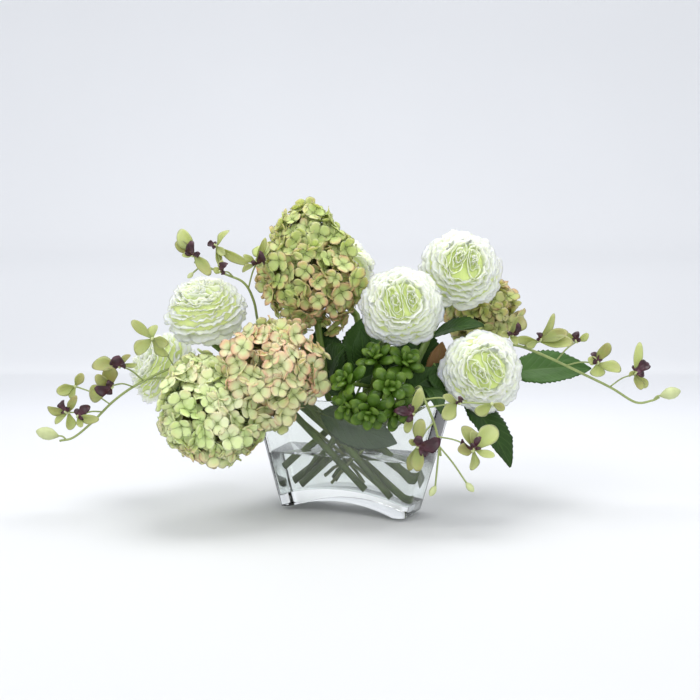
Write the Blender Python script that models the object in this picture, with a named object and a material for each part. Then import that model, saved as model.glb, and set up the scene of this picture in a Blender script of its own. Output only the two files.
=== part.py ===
# Low bouquet of ranunculus, hydrangea, orchid sprays and a succulent cutting,
# standing in a fan-shaped clear glass vase that is part filled with water.
#
# Lengths are metres. +X runs to the right, +Y to the back and +Z up. The origin lies
# below the middle of the whole arrangement, on the surface that the vase stands on.
# Places are written in millimetres from the middle of the vase's foot.

import math
import random

import bmesh
import bpy
from mathutils import Matrix, Vector

MM = 0.001
GAP = 0.3 * MM
UP = Vector((0.0, 0.0, 1.0))

# Where the vase's foot stands from the arrangement's own origin.
VASE_OFFSET = Vector((-15.0, -4.0, 0.0)) * MM

# Vase: a flat fan in outline, as deep as it is thick, its underside bowed up in an arch.
VASE_TURN = math.radians(-25.0)
VASE_HEIGHT = 128.0 * MM
VASE_HALF_DEPTH = 30.0 * MM
VASE_FOOT_HALF = 80.0 * MM
VASE_RIM_HALF = 119.0 * MM
VASE_WALL = 4.0 * MM
VASE_CORNER = 8.0 * MM
VASE_INNER_CORNER = 6.0 * MM
VASE_EDGE = 1.2 * MM
ARCH_HALF = 66.0 * MM
ARCH_RISE = 12.5 * MM
FLOOR_END = 11.0 * MM
FLOOR_MIDDLE = 26.0 * MM
FLOOR_SLACK = 6.0 * MM
WATER_LEVEL = 63.0 * MM

# Stems stand in lanes, one behind the other from the front of the vase to its back.
LANE_FRONT = -20.5 * MM
LANE_STEP = 6.1 * MM
STEM_RADIUS = 2.6 * MM
STEM_SIDES = 5
SPRAY_RADIUS = 2.0 * MM

# Ranunculus: whorls of ruffled petals round a small heart.
BLOOM_RADIUS = 50.0 * MM
BLOOM_PETAL = 1.1 * MM
BLOOM_NECK = 8.0 * MM

# Hydrangea: four-petalled florets standing out of a smaller core.
FLORET_RADIUS = 20.0 * MM
CORE_SHARE = 0.74
ROOT_SHARE = 0.60
HEAD_NECK = 7.0 * MM
NECK_CLEARANCE = 24.0 * MM
GOLDEN_ANGLE = math.pi * (3 - math.sqrt(5))

# Orchid blooms, succulent rosettes and leaves.
ORCHID_RADIUS = 27.0 * MM
LIP_RADIUS = 9.0 * MM
STALK_SETBACK = 16.0 * MM
ROSETTE_LEAF = 19.0 * MM
ROSETTE_HEART = 2.6 * MM
LEAF_THICKNESS = 0.9 * MM

MATERIALS = {
    "glass": ((0.88, 0.93, 0.92), 0.03),
    "water": ((0.80, 0.87, 0.86), 0.02),
    "ranunculus": ((0.90, 0.92, 0.74), 0.60),
    "hydrangea": ((0.66, 0.72, 0.42), 0.65),
    "orchid": ((0.58, 0.64, 0.24), 0.50),
    "succulent": ((0.20, 0.38, 0.09), 0.45),
    "foliage": ((0.09, 0.20, 0.06), 0.50),
}


def clear_scene():
    for item in list(bpy.data.objects):
        bpy.data.objects.remove(item)


def mm(x, y, z):
    return Vector((x, y, z)) * MM


def in_vase(along, across, height):
    """A point given along and across the vase, as a place in the upright frame."""
    return Matrix.Rotation(VASE_TURN, 3, "Z") @ Vector((along, across, height))


def lane(number):
    return LANE_FRONT + number * LANE_STEP


def make_material(name):
    colour, roughness = MATERIALS[name]
    material = bpy.data.materials.new(name)
    material.use_nodes = True
    shader = material.node_tree.nodes["Principled BSDF"]
    shader.inputs["Base Color"].default_value = (*colour, 1.0)
    shader.inputs["Roughness"].default_value = roughness
    shader.inputs["Metallic"].default_value = 0.0
    if name in ("glass", "water"):
        shader.inputs["Transmission Weight"].default_value = 1.0
    return material


def frame_on(axis, roll=0.0):
    """A rotation that turns +Z to the axis, with a roll about it."""
    turn = axis.normalized().to_track_quat("Z", "Y").to_matrix()
    return turn @ Matrix.Rotation(roll, 3, "Z")


def placed(shape, centre, rotation):
    points, faces = shape
    return [centre + rotation @ point for point in points], faces


def mesh_of(name, shape):
    points, faces = shape
    mesh = bpy.data.meshes.new(name)
    mesh.from_pydata([tuple(point) for point in points], [], faces)
    form = bmesh.new()
    form.from_mesh(mesh)
    bmesh.ops.recalc_face_normals(form, faces=form.faces)
    form.to_mesh(mesh)
    form.free()
    return mesh


def smooth_path(points, steps):
    """A Catmull-Rom curve through the points."""
    ends = [2 * points[0] - points[1]] + points + [2 * points[-1] - points[-2]]
    path = []
    for index in range(len(points) - 1):
        before, start, finish, after = ends[index:index + 4]
        for step in range(steps):
            t = step / steps
            path.append(0.5 * (2 * start + (finish - before) * t
                               + (2 * before - 5 * start + 4 * finish - after) * t * t
                               + (3 * start - before - 3 * finish + after) * t ** 3))
    path.append(points[-1].copy())
    return path


def along_path(path, share):
    """The place at a share of the way along a path's points."""
    position = share * (len(path) - 1)
    index = min(int(position), len(path) - 2)
    return path[index].lerp(path[index + 1], position - index)


def node_near(path, place, back):
    """The place on a path nearest to another, moved back towards the path's root."""
    shares = [step / 80 for step in range(81)]
    nearest = min(shares, key=lambda share: (along_path(path, share) - place).length)
    node = along_path(path, nearest)
    while nearest > 0 and (along_path(path, nearest) - node).length < back:
        nearest -= 1 / 80
    return along_path(path, nearest)


def tube(path, radii, sides):
    """A closed tube along the path, with one radius for each of its points."""
    points = []
    faces = []
    side = None
    for index, place in enumerate(path):
        along = path[min(index + 1, len(path) - 1)] - path[max(index - 1, 0)]
        along.normalize()
        if side is None:
            side = along.orthogonal().normalized()
        side = (side - along * side.dot(along)).normalized()
        other = along.cross(side)
        for step in range(sides):
            angle = 2 * math.pi * step / sides
            spoke = side * math.cos(angle) + other * math.sin(angle)
            points.append(place + spoke * radii[index])
    for index in range(len(path) - 1):
        for step in range(sides):
            following = (step + 1) % sides
            low = index * sides
            high = low + sides
            faces.append((low + step, low + following, high + following, high + step))
    faces.append(tuple(reversed(range(sides))))
    faces.append(tuple(range(len(points) - sides, len(points))))
    return points, faces


def thicken(points, triangles, thickness):
    """A thin closed blade: both faces are split alike and the open edges are joined."""
    normals = [Vector() for _ in points]
    borders = {}
    for triangle in triangles:
        a, b, c = (points[corner] for corner in triangle)
        normal = (b - a).cross(c - a)
        for corner in triangle:
            normals[corner] += normal
        for index in range(3):
            edge = (triangle[index], triangle[(index + 1) % 3])
            if (edge[1], edge[0]) in borders:
                del borders[(edge[1], edge[0])]
            else:
                borders[edge] = True
    half = thickness / 2
    upper = [point + normal.normalized() * half for point, normal in zip(points, normals)]
    lower = [point - normal.normalized() * half for point, normal in zip(points, normals)]
    count = len(points)
    faces = [tuple(triangle) for triangle in triangles]
    faces += [tuple(corner + count for corner in reversed(triangle)) for triangle in triangles]
    faces += [(start, start + count, end + count, end) for start, end in borders]
    return upper + lower, faces


def star(rim, top, bottom):
    """A thin star-shaped solid: its rim, with a point above and a root below."""
    count = len(rim)
    points = list(rim) + [top, bottom]
    faces = []
    for index in range(count):
        following = (index + 1) % count
        faces.append((index, following, count))
        faces.append((following, index, count + 1))
    return points, faces


def keep_largest_body(mesh):
    """Drops loose scraps and fills sealed hollows by keeping the largest closed skin."""
    form = bmesh.new()
    form.from_mesh(mesh)
    bmesh.ops.triangulate(form, faces=form.faces)
    unseen = set(form.faces)
    bodies = []
    while unseen:
        body = [unseen.pop()]
        for face in body:
            for edge in face.edges:
                if len(edge.link_faces) > 2:
                    continue
                for neighbour in edge.link_faces:
                    if neighbour in unseen:
                        unseen.remove(neighbour)
                        body.append(neighbour)
        volume = sum(f.verts[0].co.dot(f.verts[1].co.cross(f.verts[2].co)) for f in body)
        bodies.append((volume, body))
    bodies.sort(key=lambda entry: entry[0], reverse=True)
    scraps = [face for _, body in bodies[1:] for face in body]
    bmesh.ops.delete(form, geom=scraps, context="FACES")
    form.to_mesh(mesh)
    form.free()


def boolean(item, operation, operands):
    """Joins the operand shapes to the object, or cuts them out, and applies it."""
    group = bpy.data.collections.new(item.name + "_operands")
    bpy.context.scene.collection.children.link(group)
    for number, shape in enumerate(operands):
        name = f"{item.name}_operand_{number}"
        operand = bpy.data.objects.new(name, mesh_of(name, shape))
        operand.hide_render = True
        operand.display_type = "WIRE"
        group.objects.link(operand)
    modifier = item.modifiers.new(operation, "BOOLEAN")
    modifier.operation = operation
    modifier.operand_type = "COLLECTION"
    modifier.collection = group
    modifier.solver = "EXACT"
    graph = bpy.context.evaluated_depsgraph_get()
    result = bpy.data.meshes.new_from_object(item.evaluated_get(graph))
    item.modifiers.remove(modifier)
    item.data = result
    for operand in list(group.objects):
        bpy.data.objects.remove(operand)
    bpy.data.collections.remove(group)


def add_object(name, shape, material, smooth=True):
    item = bpy.data.objects.new(name, mesh_of(name, shape))
    bpy.context.scene.collection.objects.link(item)
    item.data.materials.append(material)
    if smooth:
        item.data.shade_smooth()
    return item


def fused(name, shapes, material, cutters=()):
    """One node: the first shape with all the others fused to it, less the cutters."""
    item = add_object(name, shapes[0], material)
    if len(shapes) > 1:
        boolean(item, "UNION", shapes[1:])
    if cutters:
        boolean(item, "DIFFERENCE", cutters)
    keep_largest_body(item.data)
    item.data.materials.clear()
    item.data.materials.append(material)
    item.data.shade_smooth()
    item.data.set_sharp_from_angle(angle=math.radians(50))
    return item


# Vase and water

def rounded_ring(half_length, half_depth, corner, height, steps=3):
    ring = []
    for quarter in range(4):
        middle_along = (half_length - corner) * (1 if quarter in (0, 3) else -1)
        middle_across = (half_depth - corner) * (1 if quarter in (0, 1) else -1)
        for step in range(steps + 1):
            angle = math.pi / 2 * (quarter + step / steps)
            along = middle_along + corner * math.cos(angle)
            across = middle_across + corner * math.sin(angle)
            ring.append(in_vase(along, across, height))
    return ring


def loft(rings):
    count = len(rings[0])
    points = [point for ring in rings for point in ring]
    faces = []
    for level in range(len(rings) - 1):
        for step in range(count):
            following = (step + 1) % count
            low = level * count
            high = low + count
            faces.append((low + step, low + following, high + following, high + step))
    faces.append(tuple(reversed(range(count))))
    faces.append(tuple(range(len(points) - count, len(points))))
    return points, faces


def vase_half_length(height):
    share = height / VASE_HEIGHT
    return VASE_FOOT_HALF + (VASE_RIM_HALF - VASE_FOOT_HALF) * share


def under_arch(half_length, low, middle, depth, steps=14):
    """A block under an arc that climbs from low at its ends to the middle height."""
    rise = middle - low
    radius = (half_length ** 2 + rise ** 2) / (2 * rise)
    centre = middle - radius
    sweep = math.asin(half_length / radius)
    outline = [(-half_length, -20 * MM)]
    for step in range(steps + 1):
        angle = -sweep + 2 * sweep * step / steps
        outline.append((radius * math.sin(angle), centre + radius * math.cos(angle)))
    outline.append((half_length, -20 * MM))
    count = len(outline)
    points = [in_vase(along, side * depth, height) for side in (-1, 1) for along, height in outline]
    faces = [tuple(range(count)), tuple(reversed(range(count, 2 * count)))]
    for step in range(count):
        following = (step + 1) % count
        faces.append((step, following, following + count, step + count))
    return points, faces


def hollow_block(margin, top, floor_lift, material):
    """The vase's inside, less a margin to its walls, from its floor up to the top."""
    rings = []
    for height in (FLOOR_END - FLOOR_SLACK, top):
        length = vase_half_length(height) - margin
        rings.append(rounded_ring(length, VASE_HALF_DEPTH - margin, VASE_INNER_CORNER, height))
    block = add_object("vase_inside", loft(rings), material)
    floor = under_arch(VASE_FOOT_HALF + 20 * MM, FLOOR_END + floor_lift - FLOOR_SLACK,
                       FLOOR_MIDDLE + floor_lift, 2 * VASE_HALF_DEPTH)
    boolean(block, "DIFFERENCE", [floor])
    return block


def build_vase(material):
    rings = [
        rounded_ring(VASE_FOOT_HALF - VASE_EDGE, VASE_HALF_DEPTH - VASE_EDGE, VASE_CORNER, 0.0),
        rounded_ring(vase_half_length(VASE_EDGE), VASE_HALF_DEPTH, VASE_CORNER, VASE_EDGE),
        rounded_ring(vase_half_length(VASE_HEIGHT - VASE_EDGE), VASE_HALF_DEPTH, VASE_CORNER,
                     VASE_HEIGHT - VASE_EDGE),
        rounded_ring(VASE_RIM_HALF - VASE_EDGE, VASE_HALF_DEPTH - VASE_EDGE, VASE_CORNER,
                     VASE_HEIGHT),
    ]
    vase = add_object("glass_vase", loft(rings), material)
    arch = under_arch(ARCH_HALF, 0.0, ARCH_RISE, 2 * VASE_HALF_DEPTH)
    inside = hollow_block(VASE_WALL, VASE_HEIGHT + 10 * MM, 0.0, material)
    hollow = ([vertex.co.copy() for vertex in inside.data.vertices],
              [tuple(face.vertices) for face in inside.data.polygons])
    bpy.data.objects.remove(inside)
    boolean(vase, "DIFFERENCE", [arch, hollow])
    vase.data.set_sharp_from_angle(angle=math.radians(40))
    return vase


def build_water(material, holes):
    water = hollow_block(VASE_WALL + GAP, WATER_LEVEL, GAP, material)
    water.name = "water"
    boolean(water, "DIFFERENCE", holes)
    keep_largest_body(water.data)
    water.data.materials.clear()
    water.data.materials.append(material)
    water.data.set_sharp_from_angle(angle=math.radians(40))
    return water


# Stems, leaves and heads

def stem_path(lane_number, foot, rim, beyond, steps=2):
    """A stem's path: straight inside the vase, then smooth through the points beyond."""
    across = lane(lane_number)
    foot_along, foot_height = foot
    start = in_vase(foot_along * MM, across, foot_height * MM)
    mouth = in_vase(rim * MM, across, VASE_HEIGHT)
    curve = smooth_path([mouth.lerp(start, 0.2), mouth] + [mm(*point) for point in beyond], steps)
    return [start] + curve[steps:]


def stem_tube(path, radius, end_radius, sides=STEM_SIDES):
    radii = [radius] * (len(path) - 1) + [end_radius]
    return tube(path, radii, sides)


def hole_for(path, radius):
    """The hole that a stem stands in: its own tube below the water, a little wider."""
    down = (path[0] - path[1]).normalized()
    grown = [path[0] + down * GAP, path[1], path[1] - down * 60 * MM]
    return tube(grown, [(radius + GAP) * 1.05] * 3, STEM_SIDES)


def leaf_spine(base, tip, face, arch):
    """The leaf's upward normal, and its midrib as a function of the share from its base."""
    along = tip - base
    normal = (face - along * face.dot(along) / along.length_squared).normalized()
    return normal, lambda t: base + along * t + normal * arch * math.sin(math.pi * t)


def serrated_leaf(base, tip, face, width, teeth=6, arch=0.0, fold=0.18):
    """A pointed oval leaf with a toothed edge, folded a little along its midrib."""
    normal, spine = leaf_spine(base, tip, face, arch)
    side = (tip - base).cross(normal).normalized()
    points = []
    triangles = []

    def half_width(t):
        return width / 2 * math.sin(math.pi * min(t, 1.0) ** 0.85) ** 0.8 if 0 < t < 1 else 0.0

    middles = []
    for index in range(teeth + 1):
        middles.append(len(points))
        points.append(spine(index / teeth))
    for sign in (-1, 1):
        previous = middles[0]
        for index in range(teeth):
            t = (index + 0.62) / teeth
            reach = half_width(t) * 1.04
            tooth = len(points)
            points.append(spine(t) + side * sign * reach + normal * reach * fold)
            if index < teeth - 1:
                t = (index + 0.95) / teeth
                reach = half_width(t) * 0.84
                notch = len(points)
                points.append(spine(t) + side * sign * reach + normal * reach * fold)
            else:
                notch = middles[-1]
            fan = [(middles[index], previous, tooth)] if previous != middles[index] else []
            fan.append((middles[index], tooth, middles[index + 1]))
            if notch != middles[-1]:
                fan.append((tooth, notch, middles[index + 1]))
            for triangle in fan:
                triangles.append(triangle if sign < 0 else tuple(reversed(triangle)))
            previous = notch
    return thicken(points, triangles, LEAF_THICKNESS)


def leaf_with_stalk(root, base, tip, face, width, teeth=6, arch=0.0):
    """A leaf on a thin stalk that is sunk into the stem at its root."""
    lean = (base - root).length * 0.15
    _, spine = leaf_spine(base, tip, face, arch)
    path = [root, (root + base) / 2 + UP * lean, spine(0.14)]
    stalk = tube(path, [1.9 * MM, 1.7 * MM, 1.2 * MM], 3)
    return [stalk, serrated_leaf(base, tip, face, width, teeth, arch)]


def petal_whorl(petals, rim_radius, notch_share, rim_height, middle_radius, middle_height,
                centre_height, wave, phase, rng):
    """A ring of petals, joined low down, each with a rounded and waved edge."""
    points = [Vector((0, 0, centre_height))]
    for petal in range(petals):
        angle = 2 * math.pi * (petal + 0.5) / petals + phase
        height = middle_height + rng.uniform(-0.3, 0.3) * wave
        points.append(Vector((middle_radius * math.cos(angle),
                              middle_radius * math.sin(angle), height)))
    for petal in range(petals):
        for offset, share in ((0.0, notch_share), (0.3, 1.0), (0.7, 1.0)):
            angle = 2 * math.pi * (petal + offset) / petals + phase
            radius = rim_radius * share * rng.uniform(0.96, 1.03)
            height = rim_height + rng.uniform(-1, 1) * wave - (1 - share) * rim_radius * 0.5
            points.append(Vector((radius * math.cos(angle), radius * math.sin(angle), height)))
    triangles = []
    for petal in range(petals):
        following = (petal + 1) % petals
        inner, inner_next = 1 + petal, 1 + following
        notch = 1 + petals + 3 * petal
        notch_next = 1 + petals + 3 * following
        triangles.append((0, inner, inner_next))
        triangles.append((inner, notch, notch + 1))
        triangles.append((inner, notch + 1, notch + 2))
        triangles.append((inner, notch + 2, notch_next))
        triangles.append((inner, notch_next, inner_next))
    return thicken(points, triangles, BLOOM_PETAL)


def ranunculus_bloom(name, centre, facing, size, material, seed, whorl_count=5):
    """A full ruffled bloom: whorls that stand steeper and smaller towards the heart."""
    rng = random.Random(seed)
    rotation = frame_on(facing, rng.uniform(0, 6))
    scale = BLOOM_RADIUS * size
    plans = [
        (6, 1.00, 0.86, -0.16, 0.62, -0.34, -0.50),
        (6, 0.92, 0.84, 0.14, 0.66, -0.16, -0.42),
        (5, 0.74, 0.84, 0.38, 0.58, 0.06, -0.34),
        (5, 0.54, 0.84, 0.52, 0.44, 0.24, -0.24),
        (4, 0.33, 0.84, 0.60, 0.28, 0.36, -0.10),
    ]
    heights = ((-0.60, 0.16), (-0.40, 0.30), (0.20, 0.24), (0.46, 0.07))
    core = tube([Vector((0, 0, height * scale)) for height, _ in heights],
                [share * scale for _, share in heights], 6)
    shapes = [placed(core, centre, rotation)]
    for number, plan in enumerate(plans[:whorl_count]):
        lobes, rim, notch, rim_up, middle, middle_up, centre_up = plan
        whorl = petal_whorl(lobes, rim * scale, notch, rim_up * scale, middle * scale,
                            middle_up * scale, centre_up * scale, 0.05 * scale,
                            number * 0.6, rng)
        shapes.append(placed(whorl, centre, rotation))
    return fused(name, shapes, material)


def bloom_seat(centre, facing, size=1.0):
    """The middle of a bloom's flat underside."""
    return centre - facing.normalized() * 0.60 * BLOOM_RADIUS * size


def floret(radius, depth, rng):
    """Four rounded petals round a small eye, on a pointed root."""
    rim = []
    turn = rng.uniform(0, math.pi)
    for petal in range(4):
        for offset, reach, lift in ((-25, 0.96, 0.16), (25, 0.96, 0.16), (45, 0.50, 0.0)):
            angle = turn + math.radians(petal * 90 + offset)
            height = (lift + rng.uniform(-0.05, 0.05)) * radius
            rim.append(Vector((reach * radius * math.cos(angle),
                               reach * radius * math.sin(angle), height)))
    return star(rim, Vector((0, 0, 0)), Vector((0, 0, -depth)))


def hydrangea_head(name, lobes, neck, material, seed, clear_of=(), cutters=()):
    """A head of florets on one or more rounded cores.

    Each lobe gives its centre, its three half sizes and how many florets it carries.
    The neck is the place where the stem meets the head.
    """
    rng = random.Random(seed)
    shapes = []
    for centre, half, _ in lobes:
        core = bmesh.new()
        bmesh.ops.create_icosphere(core, subdivisions=1, radius=1.08)
        points = [centre + Vector([c * h for c, h in zip(v.co, half)]) * CORE_SHARE
                  for v in core.verts]
        faces = [tuple(v.index for v in face.verts) for face in core.faces]
        core.free()
        shapes.append((points, faces))
    inner = neck.lerp(lobes[0][0], 0.5)
    shapes.append(tube([neck, inner], [HEAD_NECK, HEAD_NECK * 0.8], 6))
    for number, (centre, half, count) in enumerate(lobes):
        others = [lobe for index, lobe in enumerate(lobes) if index != number]
        for index in range(count):
            height = 1 - 2 * (index + 0.5) / count
            ring = math.sqrt(1 - height * height)
            angle = index * GOLDEN_ANGLE + number
            direction = Vector((ring * math.cos(angle), ring * math.sin(angle), height))
            surface = Vector([d * h for d, h in zip(direction, half)])
            normal = Vector([d / h for d, h in zip(direction, half)]).normalized()
            place = centre + surface * rng.uniform(0.90, 1.0)
            if (place - neck).length < NECK_CLEARANCE:
                continue
            if any(inside_lobe(place, lobe, 0.92) for lobe in others):
                continue
            if any(inside_lobe(place, lobe, 1.0) for lobe in clear_of):
                continue
            tilt = Vector([rng.uniform(-0.25, 0.25) for _ in range(3)])
            depth = surface.length * (0.95 - ROOT_SHARE)
            shape = floret(FLORET_RADIUS * rng.uniform(0.9, 1.05), depth, rng)
            shapes.append(placed(shape, place, frame_on(normal + tilt)))
    return fused(name, shapes, material, cutters)


def inside_lobe(place, lobe, grow):
    centre, half, _ = lobe
    offset = place - centre
    return sum((o / (h * grow)) ** 2 for o, h in zip(offset, half)) < 1


def spindle(length, width, thickness, belly=0.6, sides=4):
    """A plump pointed leaf or bud, from its root to its tip along +Z."""
    points = [Vector((0, 0, 0))]
    for height, share in ((0.30, 0.62), (belly + 0.12, 1.0)):
        for step in range(sides):
            angle = 2 * math.pi * (step + 0.5) / sides
            points.append(Vector((width * share * math.cos(angle),
                                  thickness * share * math.sin(angle), height * length)))
    points.append(Vector((0, 0, length)))
    last = len(points) - 1
    faces = []
    for step in range(sides):
        following = (step + 1) % sides
        faces.append((0, 1 + following, 1 + step))
        faces.append((1 + step, 1 + following, 1 + sides + following, 1 + sides + step))
        faces.append((1 + sides + step, 1 + sides + following, last))
    return points, faces


def orchid_flower(node, centre, facing, roll, size, rng):
    """Five oval petals, a lobed lip in front and a thin stalk back to the spray."""
    rotation = frame_on(facing, roll)
    radius = ORCHID_RADIUS * size
    rim = []
    for petal in range(5):
        bend = rng.uniform(-0.15, 0.25)
        for offset, reach in ((-14, 0.80), (0, 1.0), (14, 0.80), (36, 0.18)):
            angle = math.radians(petal * 72 + offset + 90)
            rim.append(Vector((reach * math.cos(angle), reach * math.sin(angle),
                               bend * reach)) * radius)
    bloom = star(rim, Vector((0, 0, 0.10)) * radius, Vector((0, 0, -0.22)) * radius)
    lip_rim = []
    for lobe in range(3):
        for offset, reach in ((-28, 1.0), (28, 1.0)):
            angle = math.radians(lobe * 120 + offset - 90)
            lip_rim.append(Vector((reach * math.cos(angle), reach * math.sin(angle), 0))
                           * LIP_RADIUS * size)
    lip = star(lip_rim, Vector((0, 0, 0.10)) * radius, Vector((0, 0, -0.42)) * radius)
    lip_place = centre + rotation @ (Vector((0, -0.16, 0.34)) * radius)
    lip_turn = rotation @ Matrix.Rotation(math.radians(35), 3, "X")
    back = centre - (rotation @ UP) * radius * 0.12
    out = back - (rotation @ UP) * radius * 0.55
    stalk = tube([node, out, back], [1.2 * MM] * 3, 3)
    return [stalk, placed(bloom, centre, rotation), placed(lip, lip_place, lip_turn)]


def orchid_bud(node, tip_start, direction, size):
    rotation = frame_on(direction)
    bud = spindle(17 * MM * size, 5 * MM * size, 5 * MM * size, 0.45, 5)
    root = tip_start - direction.normalized() * 2 * MM
    stalk = tube([node, (node + root) / 2 + UP * 2 * MM, tip_start + direction * 2 * MM],
                 [1.1 * MM] * 3, 3)
    return [stalk, placed(bud, root, rotation)]


def rosette(centre, facing, rng):
    """A tight rosette of plump leaves."""
    rotation = frame_on(facing, rng.uniform(0, 6))
    shapes = []
    for tier, (count, lean, reach) in enumerate(((6, 74, 1.0), (3, 32, 0.75))):
        for index in range(count):
            turn = Matrix.Rotation(2 * math.pi * (index + 0.5 * tier) / count, 3, "Z")
            tip_over = Matrix.Rotation(math.radians(lean), 3, "Y")
            leaf = spindle(ROSETTE_LEAF * reach, 3.4 * MM, 6.0 * MM)
            place = rotation @ turn @ tip_over
            root = centre + place @ UP * ROSETTE_HEART * 0.8
            shapes.append(placed(leaf, root, place))
    return shapes


# Placing of the pieces, in millimetres from the middle of the vase's foot

# Each bloom: centre, the way it faces, its share of the full size and its whorls.
BLOOMS = {
    "a": (mm(58, -45, 240), Vector((0.05, -0.95, 0.30)), 0.98, 5),
    "b": (mm(133, 15, 283), Vector((0.25, -0.80, 0.55)), 1.03, 5),
    "c": (mm(148, -55, 166), Vector((0.20, -0.95, 0.22)), 0.97, 5),
    "d": (mm(-170, -5, 239), Vector((-0.10, -0.50, 0.86)), 1.00, 5),
    "e": (mm(-15, 98, 292), Vector((0.05, 0.70, 0.70)), 0.96, 3),
    "f": (mm(-238, 50, 165), Vector((-0.75, -0.45, 0.45)), 0.96, 3),
}

# Each head: its rounded lobes, and the way from its first lobe to its stem.
HEADS = {
    "upper": ([(mm(-47, 5, 272), mm(61, 52, 64), 25), (mm(-51, 5, 319), mm(38, 35, 38), 10)],
              Vector((0.15, 0.10, -1.0)), 0.80),
    "front": ([(mm(-89, -60, 165), mm(59, 50, 60), 25)], Vector((0.37, 0.89, -0.28)), 0.84),
    "left": ([(mm(-156, -70, 118), mm(60, 50, 50), 23), (mm(-166, -46, 147), mm(40, 36, 36), 10)],
             Vector((0.49, 0.81, 0.30)), 0.84),
    "right": ([(mm(160, 90, 220), mm(48, 42, 46), 16)], Vector((-0.30, -0.45, -0.84)), 0.80),
}

# Each stem: lane, foot along the vase and its height, place along the rim, places beyond.
STEMS = {
    "left": (0, (30, 28), -85, [(-104, 8, 138), (-122, -14, 139)]),
    "front": (0, (62, 22), -50, [(-60, -2, 140)]),
    "succulent": (1, (-50, 40), 30, [(22, -38, 141), (24, -52, 148)]),
    "orchid_front": (1, (-15, 31), 78, [(69, -57, 141), (76, -75, 150), (80, -92, 138),
                                        (91, -98, 109), (97, -98, 78)]),
    "orchid_left": (2, (52, 25), -104, [(-135, 28, 150), (-175, 12, 164), (-206, 0, 166),
                                        (-247, -10, 147), (-274, -15, 128), (-299, -18, 103),
                                        (-320, -20, 86), (-336, -20, 82)]),
    "d": (2, (76, 19), -78, [(-105, 26, 160), (-145, 26, 178)]),
    "a": (3, (-83, 42), 22, [(30, -6, 165), (47, 10, 198)]),
    "c": (3, (-60, 24), 66, [(85, -22, 145), (120, -10, 154)]),
    "orchid_upper": (4, (20, 31), -72, [(-88, 30, 172), (-108, 22, 212), (-113, 5, 243),
                                        (-122, -12, 264), (-142, -20, 274), (-178, -22, 288)]),
    "upper": (4, (82, 34), -30, [(-32, 14, 170)]),
    "e": (5, (-51, 40), 15, [(18, 25, 180), (8, 56, 226)]),
    "b": (5, (-20, 31), 58, [(78, 5, 170), (103, 35, 215)]),
    "f": (6, (75, 38), -100, [(-120, 66, 148), (-165, 76, 142)]),
    "right": (7, (-79, 23), 85, [(112, 12, 152), (138, 48, 172)]),
    "orchid_right": (7, (-37, 31), 104, [(130, 15, 160), (162, 15, 182), (190, 6, 192),
                                         (223, 2, 182), (285, 5, 153), (311, 5, 140),
                                         (338, 5, 124), (357, 5, 126), (366, 5, 130)]),
}

# Leaves on each stem: share of the stem at the stalk's root, base, tip, the way the
# blade faces, width, teeth and arch.
LEAVES = {
    "c": [(0.60, (132, -22, 134), (178, -66, 60), (0.5, -0.7, 0.45), 48, 6, 5),
          (0.35, (86, -38, 146), (98, -90, 122), (0.2, -0.5, 0.8), 22, 5, 6),
          (0.30, (97, -18, 150), (106, -24, 197), (-0.1, -1.0, 0.2), 26, 4, 3)],
    "b": [(0.55, (98, -2, 203), (152, -34, 216), (0.0, -0.5, 0.85), 40, 6, 4),
          (0.62, (90, 54, 205), (76, 120, 214), (0.0, -0.3, 0.95), 50, 5, 8),
          (0.35, (82, 22, 150), (78, 32, 222), (0.0, -1.0, 0.1), 56, 5, 4)],
    "e": [(0.35, (14, 28, 150), (20, 38, 226), (0.0, -1.0, 0.1), 58, 5, 4)],
    "a": [(0.56, (18, -14, 162), (12, -30, 212), (0.0, -1.0, 0.2), 28, 5, 4),
          (0.30, (6, -38, 135), (-30, -44, 150), (0.0, -0.9, 0.4), 26, 4, 2)],
    "upper": [(0.57, (-24, -2, 160), (-5, -40, 192), (0.0, -0.8, 0.6), 42, 5, 4),
              (0.62, (-48, 40, 168), (-72, 112, 164), (0.0, 0.1, 1.0), 58, 5, 10)],
    "right": [(0.60, (192, 32, 152), (290, 34, 158), (0.0, -0.5, 0.85), 46, 7, 8),
              (0.74, (142, 72, 160), (176, 136, 146), (0.0, 0.1, 1.0), 54, 5, 10)],
    "f": [(0.70, (-148, 92, 146), (-186, 142, 122), (0.1, 0.3, 0.95), 52, 5, 8)],
    "orchid_left": [(0.50, (-182, 6, 156), (-208, 2, 128), (-0.3, -0.9, 0.3), 24, 4, 2)],
}

# The broad leaf that lies flat against the inside of the glass, above the water.
INSIDE_LEAF_ROOT = 0.11
INSIDE_LEAF_BASE = (-26, 113)
INSIDE_LEAF_TIP = (70, 84)
INSIDE_LEAF_ACROSS = -24.3
INSIDE_LEAF_WIDTH = 50

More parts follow.
